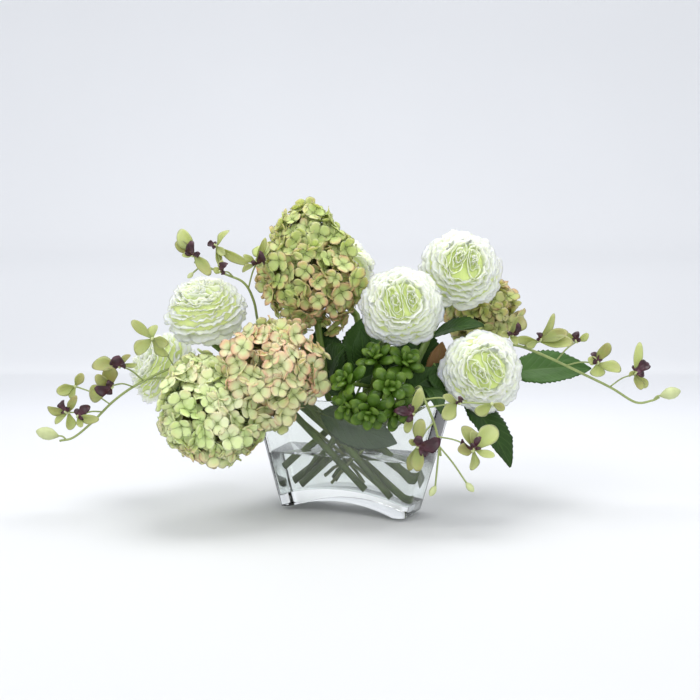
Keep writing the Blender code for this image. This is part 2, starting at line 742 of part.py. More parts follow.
# Orchid blooms on each spray: centre, the way it faces, roll and size.
ORCHIDS = {
    "left": [((-220, -42, 202), (-0.2, -0.6, 0.8), 0.3, 0.9),
             ((-270, -34, 172), (-0.3, -0.9, 0.4), 1.0, 0.95),
             ((-292, -40, 144), (-0.3, -0.9, 0.2), 0.5, 1.0),
             ((-328, -36, 122), (-0.6, -0.8, 0.2), 0.2, 0.9),
             ((-302, -50, 106), (0.1, -0.9, -0.2), 0.7, 0.8)],
    "upper": [((-190, -26, 312), (-0.4, -0.7, 0.5), 0.2, 0.95),
              ((-150, -36, 292), (0.1, -0.9, 0.0), 0.6, 0.75),
              ((-138, -8, 312), (0.2, -0.6, 0.8), 0.9, 0.85),
              ((-118, -30, 304), (0.4, -0.8, 0.4), 0.0, 0.75)],
    "right": [((196, -12, 216), (-0.1, -0.7, 0.7), 0.4, 0.8),
              ((226, -8, 204), (0.1, -0.8, 0.6), 0.0, 0.95),
              ((262, -8, 196), (0.3, -0.8, 0.5), 0.7, 0.85),
              ((296, -12, 178), (0.1, -0.9, 0.3), 0.3, 0.95),
              ((322, 18, 164), (0.3, 0.3, 0.9), 0.8, 0.85),
              ((348, -10, 166), (0.4, -0.8, 0.4), 0.5, 0.9)],
    "front": [((64, -114, 124), (-0.2, -0.9, 0.2), 0.2, 0.8),
              ((84, -118, 88), (0.0, -0.95, 0.1), 0.0, 1.0),
              ((126, -112, 96), (0.3, -0.9, 0.1), 0.4, 1.0),
              ((112, -116, 134), (0.2, -0.9, 0.3), 0.8, 0.8)],
}

# Buds on each spray: place of the bud's root, the way it points and size.
BUDS = {
    "left": [((-342, -20, 86), (-1.0, -0.1, 0.3), 1.3)],
    "upper": [((-192, -30, 286), (-1.0, 0.0, 0.3), 0.8)],
    "right": [((371, 5, 132), (1.0, 0.0, 0.4), 1.4)],
    "front": [((88, -104, 50), (-0.3, -0.2, -1.0), 0.9),
              ((122, -106, 54), (0.5, -0.2, -0.8), 0.9)],
}

# Rosettes of the succulent cutting: centre and the way each faces.
ROSETTES = [
    ((2, -66, 151), (-0.6, -0.7, 0.45)),
    ((46, -74, 149), (0.2, -0.95, 0.2)),
    ((22, -84, 125), (-0.15, -0.9, -0.35)),
    ((60, -54, 172), (0.35, -0.75, 0.6)),
    ((30, -50, 176), (-0.2, -0.6, 0.8)),
]


def head_neck(head):
    """The place where a stem meets the head, and the way out of the head there."""
    lobes, toward, reach = HEADS[head]
    centre, half, _ = lobes[0]
    way = toward.normalized()
    surface = 1 / math.sqrt(sum((w / h) ** 2 for w, h in zip(way, half)))
    return centre + way * surface * reach, way


def stem_of(name):
    """The stem's path, led on to the bloom or head that it carries."""
    lane_number, foot, rim, beyond = STEMS[name]
    path = stem_path(lane_number, foot, rim, beyond)
    if name in BLOOMS:
        centre, facing, size, _ = BLOOMS[name]
        seat = bloom_seat(centre, facing, size)
        way = -facing.normalized()
    elif name in HEADS:
        seat, way = head_neck(name)
    else:
        return path
    lead = smooth_path([path[-1], seat + way * 22 * MM, seat + way * 8 * MM], 2)
    return path + lead[1:] + [seat + way * GAP]


def leaves_on(path, name):
    shapes = []
    for share, base, tip, face, width, teeth, arch in LEAVES.get(name, []):
        root = along_path(path, share)
        shapes += leaf_with_stalk(root, mm(*base), mm(*tip), Vector(face), width * MM,
                                  teeth, arch * MM)
    return shapes


def inside_leaf(path):
    root = along_path(path, INSIDE_LEAF_ROOT)
    base = in_vase(INSIDE_LEAF_BASE[0] * MM, INSIDE_LEAF_ACROSS * MM, INSIDE_LEAF_BASE[1] * MM)
    tip = in_vase(INSIDE_LEAF_TIP[0] * MM, INSIDE_LEAF_ACROSS * MM, INSIDE_LEAF_TIP[1] * MM)
    stalk = tube([root, base.lerp(tip, 0.08)], [1.2 * MM, 1.0 * MM], 4)
    blade = serrated_leaf(base, tip, in_vase(0, -1, 0), INSIDE_LEAF_WIDTH * MM, 7, fold=0.0)
    return [stalk, blade]


def build_stems(paths, material):
    for name in list(BLOOMS) + list(HEADS):
        path = paths[name]
        tip_radius = BLOOM_NECK * 0.94 if name in BLOOMS else HEAD_NECK * 0.9
        shapes = [stem_tube(path, STEM_RADIUS, tip_radius)] + leaves_on(path, name)
        if name == "front":
            shapes += inside_leaf(path)
        kind = "ranunculus" if name in BLOOMS else "hydrangea"
        fused(f"{kind}_{name}_stem", shapes, material)


def build_sprays(paths, material):
    for number, name in enumerate(ORCHIDS):
        rng = random.Random(70 + number)
        path = paths[f"orchid_{name}"]
        shapes = [stem_tube(path, SPRAY_RADIUS, SPRAY_RADIUS * 0.8)]
        shapes += leaves_on(path, f"orchid_{name}")
        for centre, facing, roll, size in ORCHIDS[name]:
            node = node_near(path, mm(*centre), STALK_SETBACK)
            shapes += orchid_flower(node, mm(*centre), Vector(facing), roll, size, rng)
        for root, pointing, size in BUDS[name]:
            node = node_near(path, mm(*root), 0.4 * STALK_SETBACK)
            shapes += orchid_bud(node, mm(*root), Vector(pointing).normalized(), size)
        fused(f"orchid_spray_{name}", shapes, material)


def build_succulent(path, material):
    rng = random.Random(5)
    shapes = [stem_tube(path, STEM_RADIUS, STEM_RADIUS)]
    joint = path[-1]
    for centre, facing in ROSETTES:
        middle = mm(*centre)
        way = Vector(facing).normalized()
        shapes.append(tube([joint, middle - way * 4 * MM, middle + way * ROSETTE_HEART],
                           [2.0 * MM, ROSETTE_HEART, ROSETTE_HEART], 4))
        shapes += rosette(middle, way, rng)
    fused("succulent_cutting", shapes, material)


def half_space(middle, way, reach=160 * MM):
    """A large block whose near face is the plane through the middle."""
    rotation = frame_on(way)
    corners = [Vector((x, y, z)) * reach for z in (0, 1) for x, y in
               ((-1, -1), (1, -1), (1, 1), (-1, 1))]
    faces = [(0, 3, 2, 1), (4, 5, 6, 7), (0, 1, 5, 4), (1, 2, 6, 5), (2, 3, 7, 6), (3, 0, 4, 7)]
    return placed((corners, faces), middle, rotation)


def build_heads(material):
    front = HEADS["front"][0]
    left = HEADS["left"][0]
    way = (left[0][0] - front[0][0]).normalized()
    border = front[0][0].lerp(left[0][0], 0.52)
    rivals = {"front": (left, half_space(border - way * GAP, way)),
              "left": (front, half_space(border + way * GAP, -way))}
    for number, (name, (lobes, _, _)) in enumerate(HEADS.items()):
        clear_of, cutter = rivals.get(name, ([], None))
        cutters = [cutter] if cutter else []
        neck, _ = head_neck(name)
        hydrangea_head(f"hydrangea_{name}_head", lobes, neck, material,
                       30 + number, clear_of, cutters)


def main():
    clear_scene()
    materials = {name: make_material(name) for name in MATERIALS}
    paths = {name: stem_of(name) for name in STEMS}
    build_vase(materials["glass"])
    holes = []
    for name, path in paths.items():
        radius = SPRAY_RADIUS if name.startswith("orchid") else STEM_RADIUS
        holes.append(hole_for(path, radius))
    build_water(materials["water"], holes)
    for number, (name, (centre, facing, size, whorls)) in enumerate(BLOOMS.items()):
        ranunculus_bloom(f"ranunculus_{name}_bloom", centre, facing, size,
                         materials["ranunculus"], 10 + number, whorls)
    build_heads(materials["hydrangea"])
    build_stems(paths, materials["foliage"])
    build_sprays(paths, materials["orchid"])
    build_succulent(paths["succulent"], materials["succulent"])
    middle = bpy.data.objects.new("arrangement", None)
    bpy.context.scene.collection.objects.link(middle)
    for item in list(bpy.data.objects):
        if item is not middle:
            item.parent = middle
    middle.location = VASE_OFFSET


main()
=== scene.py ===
import math
import random

import bmesh
import bpy
import numpy as np
from mathutils import Matrix, Vector


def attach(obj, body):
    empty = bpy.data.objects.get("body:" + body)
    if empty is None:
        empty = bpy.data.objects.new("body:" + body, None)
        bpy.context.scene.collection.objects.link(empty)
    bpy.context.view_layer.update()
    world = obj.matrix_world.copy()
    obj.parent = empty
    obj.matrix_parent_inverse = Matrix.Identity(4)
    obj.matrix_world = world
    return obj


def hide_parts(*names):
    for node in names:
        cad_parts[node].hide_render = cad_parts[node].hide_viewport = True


# Low bouquet in a fan-shaped glass vase: the fine forms and finishes of every piece.
#
# Places are written in millimetres from the middle of the vase's foot, +X to the right,
# +Y to the back and +Z up, and are turned into metres in the frame by place().

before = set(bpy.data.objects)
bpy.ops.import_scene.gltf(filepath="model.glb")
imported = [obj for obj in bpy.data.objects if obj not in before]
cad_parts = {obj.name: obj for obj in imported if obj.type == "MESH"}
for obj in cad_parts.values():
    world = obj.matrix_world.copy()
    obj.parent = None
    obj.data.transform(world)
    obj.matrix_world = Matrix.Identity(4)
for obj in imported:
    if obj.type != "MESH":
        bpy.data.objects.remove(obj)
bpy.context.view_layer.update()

MM = 0.001
VASE_OFFSET = np.array([-15.0, -4.0, 0.0])
GOLDEN_ANGLE = math.pi * (3 - math.sqrt(5))

# Vase
VASE_TURN = math.radians(-25.0)
VASE_HEIGHT = 128.0
VASE_HALF_DEPTH = 30.0
VASE_FOOT_HALF = 80.0
VASE_RIM_HALF = 119.0
VASE_WALL = 4.0
VASE_CORNER = 8.0
VASE_INNER_CORNER = 6.0
VASE_EDGE = 1.6
ARCH_HALF = 66.0
ARCH_RISE = 12.5
FLOOR_END = 11.0
FLOOR_MIDDLE = 26.0
FLOOR_SLACK = 6.0
WATER_LEVEL = 63.0
WATER_OVERLAP = 0.05

# Stems
LANE_FRONT = -20.5
LANE_STEP = 6.1
STEM_RADIUS = 2.85
STEM_BREADTH = 1.5
SPRAY_RADIUS = 1.9

# Blooms, heads and rosettes
BLOOM_RADIUS = 50.0
FLORET_RADIUS = 15.0
CLUSTER_RADIUS = 21.0
CLUSTER_AREA = 1500.0
ORCHID_RADIUS = 27.0
ROSETTE_LEAF = 25.0


# Small helpers

def place(x, y, z):
    """A point in millimetres from the middle of the vase's foot."""
    return np.array([x, y, z], dtype=float)


def unit(vector):
    vector = np.asarray(vector, dtype=float)
    return vector / np.linalg.norm(vector)


def frame_on(axis, roll=0.0):
    """A rotation that turns +Z to the axis, with a roll about it."""
    turn = Vector(axis).normalized().to_track_quat("Z", "Y").to_matrix()
    return np.array(turn @ Matrix.Rotation(roll, 3, "Z"))


def in_vase(along, across, height):
    cos, sin = math.cos(VASE_TURN), math.sin(VASE_TURN)
    return place(along * cos - across * sin, along * sin + across * cos, height)


def lane(number):
    return LANE_FRONT + number * LANE_STEP


def smooth_path(points, steps):
    """A Catmull-Rom curve through the points."""
    points = [np.asarray(point, dtype=float) for point in points]
    ends = [2 * points[0] - points[1]] + points + [2 * points[-1] - points[-2]]
    path = []
    for index in range(len(points) - 1):
        before, start, finish, after = ends[index:index + 4]
        for step in range(steps):
            t = step / steps
            path.append(0.5 * (2 * start + (finish - before) * t
                               + (2 * before - 5 * start + 4 * finish - after) * t * t
                               + (3 * start - before - 3 * finish + after) * t ** 3))
    path.append(points[-1])
    return np.array(path)


def along_path(path, share):
    position = share * (len(path) - 1)
    index = min(int(position), len(path) - 2)
    return path[index] + (path[index + 1] - path[index]) * (position - index)


def node_near(path, spot, back):
    """The place on a path nearest to another, moved back towards the path's root."""
    lengths = np.linalg.norm(path - spot, axis=1)
    index = int(np.argmin(lengths))
    node = path[index]
    while index > 0 and np.linalg.norm(path[index] - node) < back:
        index -= 1
    return path[index]


def ripple(rng, count, amount):
    """A smooth wave along a line, as a sum of a few sines with drawn phases."""
    waves = [(rng.uniform(0.6, 1.4) * (k + 1) / count, rng.uniform(0, 2 * math.pi),
              amount / (k + 1) ** 0.7) for k in range(count)]

    def value(v):
        return sum(size * np.sin(2 * math.pi * pace * count * v + phase)
                   for pace, phase, size in waves)
    return value


class Piece:
    """Gathers blades and tubes into one mesh, with what its materials read at each point.

    The marks are: along, from a blade's root to its tip; across, from -1 to 1; and
    chance, one drawn value for each blade, which in the blooms also grows with the
    tier's depth and so carries painted shade.
    """

    def __init__(self, name):
        self.name = name
        self.points = []
        self.faces = []
        self.slots = []
        self.marks = []
        self.count = 0

    def add(self, points, faces, marks, slot=0):
        points = np.asarray(points, dtype=float).reshape(-1, 3)
        self.points.append(points)
        self.faces.append((np.asarray(faces) + self.count, slot))
        self.marks.append(np.asarray(marks, dtype=float).reshape(-1, 3))
        self.count += len(points)

    def blade(self, grid, along, across, chance, thickness, slot=0):
        """A thin closed blade over a grid of points, sharp at its rim."""
        rows, columns = grid.shape[:2]
        down = np.gradient(grid, axis=0)
        side = np.gradient(grid, axis=1)
        normal = np.cross(down, side)
        length = np.linalg.norm(normal, axis=2, keepdims=True)
        normal = normal / np.maximum(length, 1e-9)
        rim = np.zeros((rows, columns), dtype=bool)
        rim[0], rim[-1], rim[:, 0], rim[:, -1] = True, True, True, True
        half = np.where(rim, 0.0, thickness / 2)[..., None]
        top = grid + normal * half
        bottom = grid - normal * half
        upper = np.arange(rows * columns).reshape(rows, columns)
        lower = upper.copy()
        inner = ~rim
        lower[inner] = rows * columns + np.arange(inner.sum())
        points = np.concatenate([top.reshape(-1, 3), bottom[inner]])
        marks = np.stack(np.broadcast_arrays(along, across, chance), axis=-1)
        marks = np.broadcast_to(marks, (rows, columns, 3))
        marks = np.concatenate([marks.reshape(-1, 3), marks[inner]])
        faces = []
        for index, flip in ((upper, False), (lower, True)):
            quads = np.stack([index[:-1, :-1], index[1:, :-1], index[1:, 1:], index[:-1, 1:]],
                             axis=-1).reshape(-1, 4)
            faces.append(quads[:, ::-1] if flip else quads)
        self.add(points, np.concatenate(faces), marks, slot)

    def lathe(self, rings, along, chance, slot=0):
        """A closed skin over rings of points, each ring closed on itself."""
        rows, columns = rings.shape[:2]
        index = np.arange(rows * columns).reshape(rows, columns)
        following = np.roll(index, -1, axis=1)
        quads = np.stack([index[:-1], following[:-1], following[1:], index[1:]],
                         axis=-1).reshape(-1, 4)
        start, finish = rows * columns, rows * columns + 1
        points = np.concatenate([rings.reshape(-1, 3), [rings[0].mean(axis=0)],
                                 [rings[-1].mean(axis=0)]])
        caps = np.concatenate([
            np.stack([following[0], index[0], np.full(columns, start),
                      np.full(columns, start)], axis=-1),
            np.stack([index[-1], following[-1], np.full(columns, finish),
                      np.full(columns, finish)], axis=-1)])
        turn = np.abs(np.linspace(-1, 1, columns))
        marks = np.stack(np.broadcast_arrays(np.asarray(along)[:, None], turn[None, :],
                                             chance), axis=-1)
        ends = [[along[0], 0.0, chance], [along[-1], 0.0, chance]]
        marks = np.concatenate([marks.reshape(-1, 3), ends])
        self.add(points, np.concatenate([quads, caps]), marks, slot)

    def tube(self, path, radii, sides, chance=0.5, slot=0, side=None, breadth=1.0):
        """A closed tube along the path, with a radius for each of its points.

        The radii hold towards its side, and across that it is broader by its breadth.
        """
        path = np.asarray(path, dtype=float)
        radii = np.broadcast_to(radii, len(path))
        rings = []
        angles = 2 * math.pi * np.arange(sides) / sides
        for index, spot in enumerate(path):
            along = unit(path[min(index + 1, len(path) - 1)] - path[max(index - 1, 0)])
            if side is None:
                side = np.array(Vector(along).orthogonal().normalized())
            side = unit(side - along * side.dot(along))
            other = np.cross(along, side)
            rings.append(spot + radii[index] * (np.outer(np.cos(angles), side)
                                                + breadth * np.outer(np.sin(angles), other)))
        self.lathe(np.array(rings), np.linspace(0, 1, len(path)), chance, slot)

    def build(self, materials, record_slot, *nodes):
        """Makes the object, with its materials, and puts it in the place of its nodes."""
        points = (np.concatenate(self.points) + VASE_OFFSET) * MM
        faces = []
        slots = []
        for group, slot in self.faces:
            for face in group.tolist():
                faces.append(face[:3] if face[2] == face[-1] else face)
                slots.append(slot)
        mesh = bpy.data.meshes.new(self.name)
        mesh.from_pydata(points.tolist(), [], faces)
        for material in materials:
            mesh.materials.append(material)
        mesh.polygons.foreach_set("material_index", slots)
        marks = np.concatenate(self.marks)
        for column, mark in enumerate(("along", "across", "chance")):
            attribute = mesh.attributes.new(mark, "FLOAT", "POINT")
            attribute.data.foreach_set("value", marks[:, column].astype(np.float32))
        mesh.update()
        mesh.shade_smooth()
        item = bpy.data.objects.new(self.name, mesh)
        bpy.context.scene.collection.objects.link(item)
        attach(item, "root")
        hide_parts(*nodes)
        return item


# Materials

class Shader:
    """A material's node tree, with short ways to add and join its nodes."""

    def __init__(self, name, roughness, **constants):
        self.material = bpy.data.materials.new(name)
        self.material.use_nodes = True
        self.tree = self.material.node_tree
        self.surface = self.tree.nodes["Principled BSDF"]
        self.surface.inputs["Roughness"].default_value = roughness
        for key, value in constants.items():
            self.surface.inputs[key.replace("_", " ")].default_value = value

    def node(self, kind, **settings):
        node = self.tree.nodes.new(kind)
        for key, value in settings.items():
            if hasattr(node, key):
                setattr(node, key, value)
            else:
                node.inputs[key.replace("_", " ")].default_value = value
        return node

    def join(self, source, target):
        self.tree.links.new(source, target)

    def mark(self, name):
        node = self.node("ShaderNodeAttribute")
        node.attribute_name = name
        return node.outputs["Fac"]

    def math(self, operation, a, b=0.0):
        node = self.node("ShaderNodeMath", operation=operation)
        for index, value in enumerate((a, b)):
            if isinstance(value, (int, float)):
                node.inputs[index].default_value = value
            else:
                self.join(value, node.inputs[index])
        return node.outputs[0]

    def noise(self, scale, detail=3.0, stretch=None):
        node = self.node("ShaderNodeTexNoise", Scale=scale, Detail=detail)
        coordinates = self.node("ShaderNodeTexCoord")
        source = coordinates.outputs["Object"]
        if stretch:
            mapping = self.node("ShaderNodeMapping")
            mapping.inputs["Scale"].default_value = stretch
            self.join(source, mapping.inputs["Vector"])
            source = mapping.outputs[0]
        self.join(source, node.inputs["Vector"])
        return node.outputs["Fac"]

    def ramp(self, source, *stops):
        """Colours, or greys, at places from 0 to 1 along the source."""
        node = self.node("ShaderNodeValToRGB")
        elements = node.color_ramp.elements
        while len(elements) < len(stops):
            elements.new(0.5)
        for element, (position, colour) in zip(elements, stops):
            element.position = position
            grey = isinstance(colour, (int, float))
            element.color = (colour,) * 3 + (1.0,) if grey else (*colour, 1.0)
        self.join(source, node.inputs["Fac"])
        return node.outputs["Color"]

    def mix(self, share, a, b, blend="MIX"):
        node = self.node("ShaderNodeMix", data_type="RGBA", blend_type=blend)
        if isinstance(share, (int, float)):
            node.inputs["Factor"].default_value = share
        else:
            self.join(share, node.inputs["Factor"])
        for name, value in (("A", a), ("B", b)):
            socket = [s for s in node.inputs if s.name == name and s.type == "RGBA"][0]
            if isinstance(value, tuple):
                socket.default_value = (*value, 1.0)
            else:
                self.join(value, socket)
        return [s for s in node.outputs if s.type == "RGBA"][0]

    def colour(self, source):
        self.join(source, self.surface.inputs["Base Color"])

    def roughness(self, source):
        self.join(source, self.surface.inputs["Roughness"])

    def bump(self, height, distance, strength=1.0):
        node = self.node("ShaderNodeBump", Strength=strength, Distance=distance)
        self.join(height, node.inputs["Height"])
        self.join(node.outputs["Normal"], self.surface.inputs["Normal"])


def soft(shader, weight, scale, radius):
    """Lets some light through, as thin petals and plump leaves do."""
    shader.surface.inputs["Subsurface Weight"].default_value = weight
    shader.surface.inputs["Subsurface Scale"].default_value = scale
    shader.surface.inputs["Subsurface Radius"].default_value = radius


def ranunculus_material():
    """Creamy petals, whiter towards the bloom's rim, with yellow-green roots; deeper tiers darker
    and greener, partly painted shade; a faint glow as painted light.
    """
    shader = Shader("ranunculus_petal", 0.65)
    shader.surface.inputs["Specular IOR Level"].default_value = 0.3
    shade = shader.math("ADD", shader.mark("along"),
                        shader.math("MULTIPLY", shader.noise(80.0), 0.14))
    # The inner ramp, for the deeper tiers, is darker and greener than the outer one: partly the
    # bloom's green heart, partly painted shade.
    inner = shader.ramp(shade, (0.36, (0.50, 0.62, 0.15)), (0.66, (0.66, 0.76, 0.33)),
                        (0.88, (0.77, 0.84, 0.54)), (1.0, (0.84, 0.88, 0.70)))
    outer = shader.ramp(shade, (0.36, (0.60, 0.68, 0.34)), (0.66, (0.76, 0.82, 0.56)),
                        (0.88, (0.82, 0.86, 0.71)), (1.0, (0.86, 0.89, 0.80)))
    tint = shader.mix(shader.mark("chance"), outer, inner)
    shader.colour(tint)
    # Painted light: the petals glow with their own tint, most at their roots and least at their
    # rims, lifting the shade in the bloom's crevices.
    shader.join(tint, shader.surface.inputs["Emission Color"])
    shader.join(shader.ramp(shader.mark("along"), (0.35, 0.13), (1.0, 0.03)),
                shader.surface.inputs["Emission Strength"])
    veins = shader.node("ShaderNodeTexWave", wave_type="BANDS", Scale=1.0, Distortion=2.0,
                        Detail=2.0)
    vector = shader.node("ShaderNodeCombineXYZ")
    shader.join(shader.math("MULTIPLY", shader.mark("across"), 7.0), vector.inputs[0])
    shader.join(shader.math("MULTIPLY", shader.mark("along"), 0.8), vector.inputs[1])
    shader.join(vector.outputs[0], veins.inputs["Vector"])
    shader.bump(veins.outputs["Fac"], 0.0003, 0.3)
    soft(shader, 0.8, 0.009, (1.0, 1.0, 0.55))
    return shader.material


def hydrangea_material(name, green, pale, pink, amount):
    """Pale green florets whose rims turn pink, some far more than others, darker towards each
    floret's middle as partly painted shade.
    """
    shader = Shader(name, 0.6)
    shader.surface.inputs["Specular IOR Level"].default_value = 0.25
    near_rim = shader.math("ADD", shader.math("MULTIPLY", shader.mark("across"), 0.30),
                           shader.math("MULTIPLY", shader.mark("along"), 0.70))
    rim = shader.ramp(near_rim, (0.40, 0.0), (0.92, 1.0))
    patches = shader.ramp(shader.noise(26.0), (0.36, 0.10), (0.58, 1.0))
    blush = shader.math("MULTIPLY", shader.math("MULTIPLY", rim, patches),
                        shader.math("MULTIPLY", shader.mark("chance"), amount))
    body = shader.mix(shader.ramp(shader.noise(28.0), (0.35, 0.0), (0.65, 1.0)), green, pale)
    # Darker green towards the petals' roots: partly the floret's green eye, partly painted shade
    # where the petals meet.
    heart = shader.ramp(shader.mark("along"), (0.02, 1.0), (0.42, 0.0))
    body = shader.mix(heart, body, tuple(c * 0.62 for c in green))
    shader.colour(shader.mix(shader.math("MINIMUM", blush, 0.92), body, pink))
    shader.bump(shader.noise(240.0), 0.0004, 0.35)
    soft(shader, 0.35, 0.004, (1.0, 1.0, 0.5))
    return shader.material


def orchid_material():
    """Olive-cream petals with fine lengthwise stripes and a rosy tinge on some."""
    shader = Shader("orchid_petal", 0.45)
    vector = shader.node("ShaderNodeCombineXYZ")
    shader.join(shader.math("MULTIPLY", shader.mark("across"), 3.0), vector.inputs[0])
    shader.join(shader.math("MULTIPLY", shader.mark("along"), 0.4), vector.inputs[1])
    shader.join(shader.mark("chance"), vector.inputs[2])
    stripes = shader.node("ShaderNodeTexWave", wave_type="BANDS", Scale=1.2, Distortion=1.2)
    shader.join(vector.outputs[0], stripes.inputs["Vector"])
    pale = shader.ramp(shader.mark("along"), (0.0, (0.18, 0.24, 0.06)),
                       (0.3, (0.36, 0.43, 0.14)), (1.0, (0.50, 0.56, 0.24)))
    deep = shader.ramp(shader.mark("along"), (0.0, (0.12, 0.17, 0.04)),
                       (0.5, (0.24, 0.29, 0.09)), (1.0, (0.34, 0.36, 0.14)))
    body = shader.mix(shader.mark("chance"), pale, deep)
    rosy = shader.math("MULTIPLY", shader.math("MULTIPLY", stripes.outputs["Fac"],
                                               shader.mark("chance")),
                       shader.ramp(shader.noise(70.0), (0.40, 0.1), (0.70, 0.9)))
    shader.colour(shader.mix(rosy, body, (0.27, 0.14, 0.07)))
    shader.bump(stripes.outputs["Fac"], 0.0004, 0.4)
    soft(shader, 0.3, 0.004, (1.0, 1.0, 0.4))
    return shader.material


def lip_material():
    """A dark plum lip with a paler mauve throat."""
    shader = Shader("orchid_lip", 0.4)
    tint = shader.ramp(shader.math("ADD", shader.math("MULTIPLY", shader.mark("along"), 0.8),
                                   shader.math("MULTIPLY", shader.noise(120.0), 0.3)),
                       (0.16, (0.30, 0.16, 0.22)), (0.36, (0.060, 0.010, 0.022)),
                       (0.75, (0.028, 0.006, 0.010)), (1.0, (0.09, 0.022, 0.042)))
    shader.colour(tint)
    shader.bump(shader.noise(400.0), 0.0004, 0.5)
    return shader.material


def succulent_material():
    """Deep green plump leaves, paler at the rim and in the young heart."""
    shader = Shader("succulent_leaf", 0.30)
    shader.surface.inputs["Specular IOR Level"].default_value = 0.22
    tint = shader.ramp(shader.math("ADD", shader.mark("along"), shader.math(
        "MULTIPLY", shader.mark("chance"), 0.20)),
                       (0.0, (0.07, 0.13, 0.010)), (0.45, (0.034, 0.085, 0.006)),
                       (0.9, (0.055, 0.115, 0.010)), (1.0, (0.10, 0.17, 0.022)))
    mottled = shader.mix(shader.ramp(shader.noise(160.0), (0.4, 0.0), (0.7, 0.35)), tint,
                         (0.10, 0.18, 0.025))
    shader.colour(mottled)
    shader.bump(shader.noise(260.0), 0.0003, 0.4)
    soft(shader, 0.10, 0.003, (0.6, 1.0, 0.2))
    return shader.material


def leaf_material(name, dark, light, roughness=0.5, gloss=0.22):
    """A leaf with a pale midrib and side veins, read from its own marks."""
    shader = Shader(name, roughness)
    shader.surface.inputs["Specular IOR Level"].default_value = gloss
    across = shader.math("ABSOLUTE", shader.mark("across"))
    slant = shader.math("SUBTRACT", shader.math("MULTIPLY", shader.mark("along"), 9.0),
                        shader.math("MULTIPLY", across, 2.4))
    side = shader.math("PINGPONG", slant, 0.5)
    side_vein = shader.ramp(side, (0.0, 1.0), (0.14, 0.0))
    midrib = shader.ramp(across, (0.0, 1.0), (0.09, 0.0))
    veins = shader.math("MAXIMUM", shader.math("MULTIPLY", side_vein, 0.55), midrib)
    blotch = shader.mix(shader.noise(45.0), tuple(c * 0.8 for c in dark),
                        tuple(c * 1.5 for c in dark))
    shader.colour(shader.mix(shader.math("MULTIPLY", veins, 0.5), blotch, light))
    relief = shader.math("SUBTRACT", shader.math("MULTIPLY", shader.noise(300.0), 0.3), veins)
    shader.bump(relief, 0.0006, 0.6)
    return shader.material


def stem_material(name, colour, roughness=0.45):
    shader = Shader(name, roughness)
    fine = shader.noise(110.0, 4.0, (1.0, 1.0, 0.25))
    tint = shader.mix(fine, tuple(c * 0.7 for c in colour), tuple(c * 1.35 for c in colour))
    shader.colour(tint)
    shader.bump(fine, 0.0006, 0.5)
    return shader.material


def glass_material():
    shader = Shader("clear_glass", 0.0, IOR=1.5, Transmission_Weight=1.0)
    shader.surface.inputs["Base Color"].default_value = (0.97, 0.99, 0.98, 1.0)
    shader.bump(shader.noise(18.0, 1.0), 0.0004, 0.15)
    return shader.material


def water_material():
    shader = Shader("water", 0.0, IOR=1.33, Transmission_Weight=1.0)
    shader.surface.inputs["Base Color"].default_value = (0.97, 0.99, 0.98, 1.0)
    shader.bump(shader.noise(30.0, 1.0), 0.0003, 0.1)
    return shader.material


# Vase and water

def rounded_ring(half_length, half_depth, corner, height, steps=10):
    ring = []
    for quarter in range(4):
        middle_along = (half_length - corner) * (1 if quarter in (0, 3) else -1)
        middle_across = (half_depth - corner) * (1 if quarter in (0, 1) else -1)
        for step in range(steps + 1):
            angle = math.pi / 2 * (quarter + step / steps)
            ring.append(in_vase(middle_along + corner * math.cos(angle),
                                middle_across + corner * math.sin(angle), height))
    return ring


def vase_half_length(height):
    return VASE_FOOT_HALF + (VASE_RIM_HALF - VASE_FOOT_HALF) * height / VASE_HEIGHT


def block_object(name, rings, caps=True):
    """A closed block lofted through rings of equal length."""
    count = len(rings[0])
    points = (np.array(rings).reshape(-1, 3) + VASE_OFFSET) * MM
    faces = []
    for level in range(len(rings) - 1):
        for step in range(count):
            following = (step + 1) % count
            low = level * count
            faces.append((low + step, low + following, low + count + following,
                          low + count + step))
    faces.append(tuple(reversed(range(count))))
    faces.append(tuple(range(len(points) - count, len(points))))
    mesh = bpy.data.meshes.new(name)
    mesh.from_pydata(points.tolist(), [], faces)
    form = bmesh.new()
    form.from_mesh(mesh)
    bmesh.ops.recalc_face_normals(form, faces=form.faces)
    form.to_mesh(mesh)
    form.free()
    item = bpy.data.objects.new(name, mesh)
    bpy.context.scene.collection.objects.link(item)
    return item


def arc_block(name, half_length, low, middle, steps=48):
    """A block under an arc that climbs from low at its ends to the middle height."""
    rise = middle - low
    radius = (half_length ** 2 + rise ** 2) / (2 * rise)
    sweep = math.asin(half_length / radius)
    outline = [(-half_length, -20.0)]
    for step in range(steps + 1):
        angle = -sweep + 2 * sweep * step / steps
        outline.append((radius * math.sin(angle), middle - radius + radius * math.cos(angle)))
    outline.append((half_length, -20.0))
    rings = [[in_vase(along, side * 2 * VASE_HALF_DEPTH, height) for along, height in outline]
             for side in (-1, 1)]
    return block_object(name, rings)


def cut(item, cutter):
    modifier = item.modifiers.new("cut", "BOOLEAN")
    modifier.operation = "DIFFERENCE"
    modifier.object = cutter
    modifier.solver = "EXACT"
    apply_modifiers(item)
    bpy.data.objects.remove(cutter)


def apply_modifiers(item):
    graph = bpy.context.evaluated_depsgraph_get()
    item.data = bpy.data.meshes.new_from_object(item.evaluated_get(graph))
    item.modifiers.clear()


def hollow_block(name, margin, top, floor_lift):
    rings = []
    for height in (FLOOR_END - FLOOR_SLACK, top):
        rings.append(rounded_ring(vase_half_length(height) - margin, VASE_HALF_DEPTH - margin,
                                  VASE_INNER_CORNER, height))
    block = block_object(name, rings)
    floor = arc_block(name + "_floor", VASE_FOOT_HALF + 20, FLOOR_END + floor_lift - FLOOR_SLACK,
                      FLOOR_MIDDLE + floor_lift)
    cut(block, floor)
    return block


